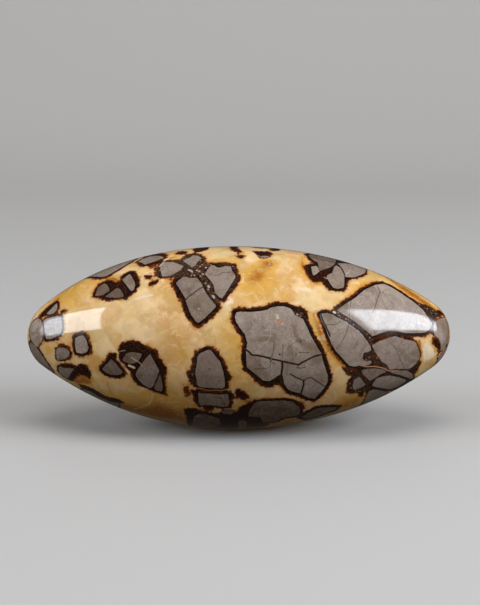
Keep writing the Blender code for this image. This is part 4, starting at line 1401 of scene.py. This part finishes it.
def septarian_stone():
    """The polished stone: calcite, brown rims and grey mudstone by their distances on the skin."""
    material = bpy.data.materials.new("polished_septarian_stone")
    material.use_nodes = True
    tree = material.node_tree
    surface = tree.nodes["Principled BSDF"]

    def stored(name, output="Fac"):
        return put(tree, "Attribute", {}, output=output, attribute_name=name)

    metres = put(tree, "TexCoord", {}, output="Object")
    where = put(tree, "VectorMath", {0: metres, "Scale": 1 / MM}, operation="SCALE")
    edge = ragged_edge()
    mud = place_group(tree, edge, {"Where": where, "Depth": stored("mudstone"), **MUDSTONE_EDGE})
    rim = place_group(tree, edge, {"Where": where, "Depth": stored("brown"), **RIM_EDGE})
    rim_alone = calc(tree, "SUBTRACT", rim["Mask"], mud["Mask"])
    line = place_group(tree, thin_line(), {
        "Where": where,
        "Offset": stored("line_offset", "Vector"),
        "Distance": stored("line_distance"),
        "Half width": stored("line_width"),
    })["Mask"]
    shade = stored("line_shade")

    patches = grain(tree, where, 3.0, 3.0)
    patches = eased(tree, patches, 0.35, 0.7, 0.1, 0.75)
    halo = calc(tree, "MULTIPLY", eased(tree, rim["Depth"], -0.9, 0.0), patches)
    calcite = place_group(tree, calcite_colour(), {"Where": where, "Amber": stored("amber")})["Colour"]
    colour = mixed(tree, halo, calcite, HALO_ORANGE)
    brown = place_group(tree, rim_colour(), {
        "Where": where,
        "Depth": rim["Depth"],
        "From mudstone": calc(tree, "MULTIPLY", mud["Depth"], -1.0),
        "Chips": stored("chips"),
    })["Colour"]
    colour = mixed(tree, rim["Mask"], colour, brown)
    grey = place_group(tree, mudstone_colour(), {"Where": where, "Tone": stored("tone")})["Colour"]
    colour = mixed(tree, mud["Mask"], colour, grey)
    dark = calc(tree, "MULTIPLY", line, eased(tree, shade, 0.0, -1.0))
    pale = calc(tree, "MULTIPLY", line, eased(tree, shade, 0.0, 1.0, 0.0, 0.8))
    colour = mixed(tree, dark, colour, LINE_BROWN)
    colour = mixed(tree, pale, colour, mixed(tree, eased(tree, shade, 1.2, 1.8), LINE_CREAM, LINE_ORANGE))
    tree.links.new(colour, surface.inputs["Base Color"])

    fine = grain(tree, where, 1.3, 4.0, 0.6)
    rough = eased(tree, fine, 0.3, 0.7, 0.05, 0.09)
    rough = calc(tree, "MULTIPLY_ADD", mud["Mask"], 0.05, rough)
    rough = calc(tree, "MULTIPLY_ADD", rim_alone, 0.10, rough)
    tree.links.new(rough, surface.inputs["Roughness"])

    sunk = calc(tree, "MULTIPLY_ADD", rim_alone, -0.012, calc(tree, "MULTIPLY", dark, -0.015))
    pits = eased(tree, grain(tree, where, 0.7, 2.0), 0.72, 0.8, 0.0, -0.03)
    pitted = calc(tree, "MULTIPLY", mud["Mask"], pits)
    height = calc(tree, "ADD", sunk, calc(tree, "MULTIPLY_ADD", fine, 0.002, pitted))
    bump = put(tree, "Bump", {"Height": height, "Distance": MM, "Strength": 1.0})
    tree.links.new(bump, surface.inputs["Normal"])

    surface.inputs["Metallic"].default_value = 0.0
    surface.inputs["IOR"].default_value = STONE_IOR
    surface.inputs["Subsurface Weight"].default_value = LIGHT_UNDER_SKIN
    surface.inputs["Subsurface Radius"].default_value = LIGHT_REACH
    surface.inputs["Subsurface Scale"].default_value = LIGHT_DEPTH
    return material


def marked(shape):
    """All the markings on a shape."""
    markings = Markings(Skin(shape))
    mark_shown_side(markings)
    mark_hidden_side(markings)
    return markings


def make_stone():
    """The skin with its markings, in place of the plain solid."""
    shape = skin_shape()
    for shown_reach, hidden_reach in SPLIT_REACHES:
        split_near(shape, marked(shape).near_edges(shown_reach, hidden_reach))
    markings = marked(shape)
    skin = Skin(shape)
    mesh = bpy.data.meshes.new("polished_stone")
    bmesh.ops.scale(shape, vec=(MM, MM, MM), verts=shape.verts)
    shape.to_mesh(mesh)
    shape.free()
    mesh.shade_smooth()
    markings.store(mesh)
    mesh.materials.append(septarian_stone())
    stone = bpy.data.objects.new("polished_stone", mesh)
    bpy.context.scene.collection.objects.link(stone)
    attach(stone, "root")
    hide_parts("lingam_stone")
    return stone, skin


FLOOR_HALF_WIDTH = 6.0
FLOOR_FRONT = -9.0
SWEEP_START = 0.5
SWEEP_RADIUS = 0.6
SWEEP_STEPS = 24
WALL_TOP = 2.5
FLOOR_COLOUR = (0.46, 0.445, 0.43, 1)
FLOOR_ROUGHNESS = 0.7


def make_floor():
    """A plain pale floor that sweeps up into a wall behind the stone."""
    line = [(FLOOR_FRONT, 0.0)]
    for step in range(SWEEP_STEPS + 1):
        turn = math.pi / 2 * step / SWEEP_STEPS
        line.append((SWEEP_START + SWEEP_RADIUS * math.sin(turn), SWEEP_RADIUS * (1 - math.cos(turn))))
    line.append((SWEEP_START + SWEEP_RADIUS, WALL_TOP))
    points = [(x, y, z) for y, z in line for x in (-FLOOR_HALF_WIDTH, FLOOR_HALF_WIDTH)]
    quads = [(2 * i, 2 * i + 1, 2 * i + 3, 2 * i + 2) for i in range(len(line) - 1)]
    mesh = bpy.data.meshes.new("floor")
    mesh.from_pydata(points, [], quads)
    mesh.shade_smooth()
    material = bpy.data.materials.new("pale_floor")
    material.use_nodes = True
    surface = material.node_tree.nodes["Principled BSDF"]
    surface.inputs["Base Color"].default_value = FLOOR_COLOUR
    surface.inputs["Roughness"].default_value = FLOOR_ROUGHNESS
    mesh.materials.append(material)
    floor = bpy.data.objects.new("floor", mesh)
    bpy.context.scene.collection.objects.link(floor)
    # The polished skin mirrors the softboxes alone
    floor.visible_glossy = False
    floor.visible_diffuse = False


def make_camera():
    """The camera at the photograph's angle, with the stone where the photograph has it."""
    data = bpy.data.cameras.new("camera")
    data.sensor_width = SENSOR
    data.lens = SENSOR * CAMERA_DISTANCE / (PHOTO_HEIGHT * MM_A_PIXEL)
    camera = bpy.data.objects.new("camera", data)
    camera.location = CAMERA_PLACE * MM
    camera.rotation_euler = (math.pi / 2 - CAMERA_ELEVATION, 0, 0)
    bpy.context.scene.collection.objects.link(camera)
    bpy.context.scene.camera = camera


# Each softbox by the pixels where the stone mirrors its corners: the upper and lower one of the
# side nearer the stone's middle, then of the other side, and its brightness
SOFTBOXES = {
    "left softbox": (((102, 311), (102, 331), (46, 319), (51, 335)), 8.5),
    "right softbox": (((350, 311), (374, 331), (416, 308), (434, 333)), 12.0),
}
SOFTBOX_DISTANCE = 1.2
SOFTBOX_COLOUR = (0.86, 0.92, 1.0)
# The other lights by place in metres, width in metres, power in watts and colour
SOFT_LIGHTS = {
    "top light": ((0.0, -0.3, 1.3), 0.9, 7.8, (1.0, 0.98, 0.96)),
    "back light": ((0.0, 1.0, 0.9), 0.9, 3.0, (1.0, 1.0, 1.0)),
    "front light": ((0.7, -2.3, 0.7), 1.2, 7.5, (1.0, 0.82, 0.62)),
}
ROOM_COLOUR = (1.0, 0.86, 0.70, 1)
ROOM_STRENGTH = 0.04


def add_light(name, place, up, size, power, colour):
    """A rectangular light that faces the stone, with its height along a direction."""
    data = bpy.data.lights.new(name, "AREA")
    data.shape = "RECTANGLE"
    data.size, data.size_y = size
    data.energy = power
    data.color = colour
    light = bpy.data.objects.new(name, data)
    back = (place - STONE_MIDDLE * MM).normalized()
    up = (up - up.dot(back) * back).normalized()
    turn = Matrix((up.cross(back), up, back)).transposed()
    light.matrix_world = Matrix.LocRotScale(place, turn, None)
    bpy.context.scene.collection.objects.link(light)
    return light


def mirrored_place(skin, pixel):
    """Where the light is that the stone mirrors at a pixel, in metres."""
    sight = sight_line(pixel)
    hit, normal = skin.tree.ray_cast(CAMERA_PLACE, sight)[:2]
    return hit * MM + (sight - 2 * sight.dot(normal) * normal) * SOFTBOX_DISTANCE


def make_lights(skin):
    """Two softboxes where the stone's highlights show them, soft lights round it and a dim room."""
    for name, (corners, radiance) in SOFTBOXES.items():
        near_top, near_bottom, far_top, far_bottom = (mirrored_place(skin, p) for p in corners)
        up = near_top - near_bottom
        across = (far_top + far_bottom - near_top - near_bottom) / 2
        place = (near_top + near_bottom + across) / 2
        size = (across.length, up.length)
        power = radiance * math.pi * size[0] * size[1]
        add_light(name, place, up, size, power, SOFTBOX_COLOUR)
    for name, (place, size, power, colour) in SOFT_LIGHTS.items():
        up = Vector((0.01, 0, 1))
        light = add_light(name, Vector(place), up, (size, size), power, colour)
        light.visible_glossy = False
    room = bpy.data.worlds.new("room")
    room.use_nodes = True
    background = room.node_tree.nodes["Background"]
    background.inputs["Color"].default_value = ROOM_COLOUR
    background.inputs["Strength"].default_value = ROOM_STRENGTH
    bpy.context.scene.world = room


make_camera()
stone, skin = make_stone()
make_floor()
make_lights(skin)
bpy.context.scene.view_settings.view_transform = "Standard"
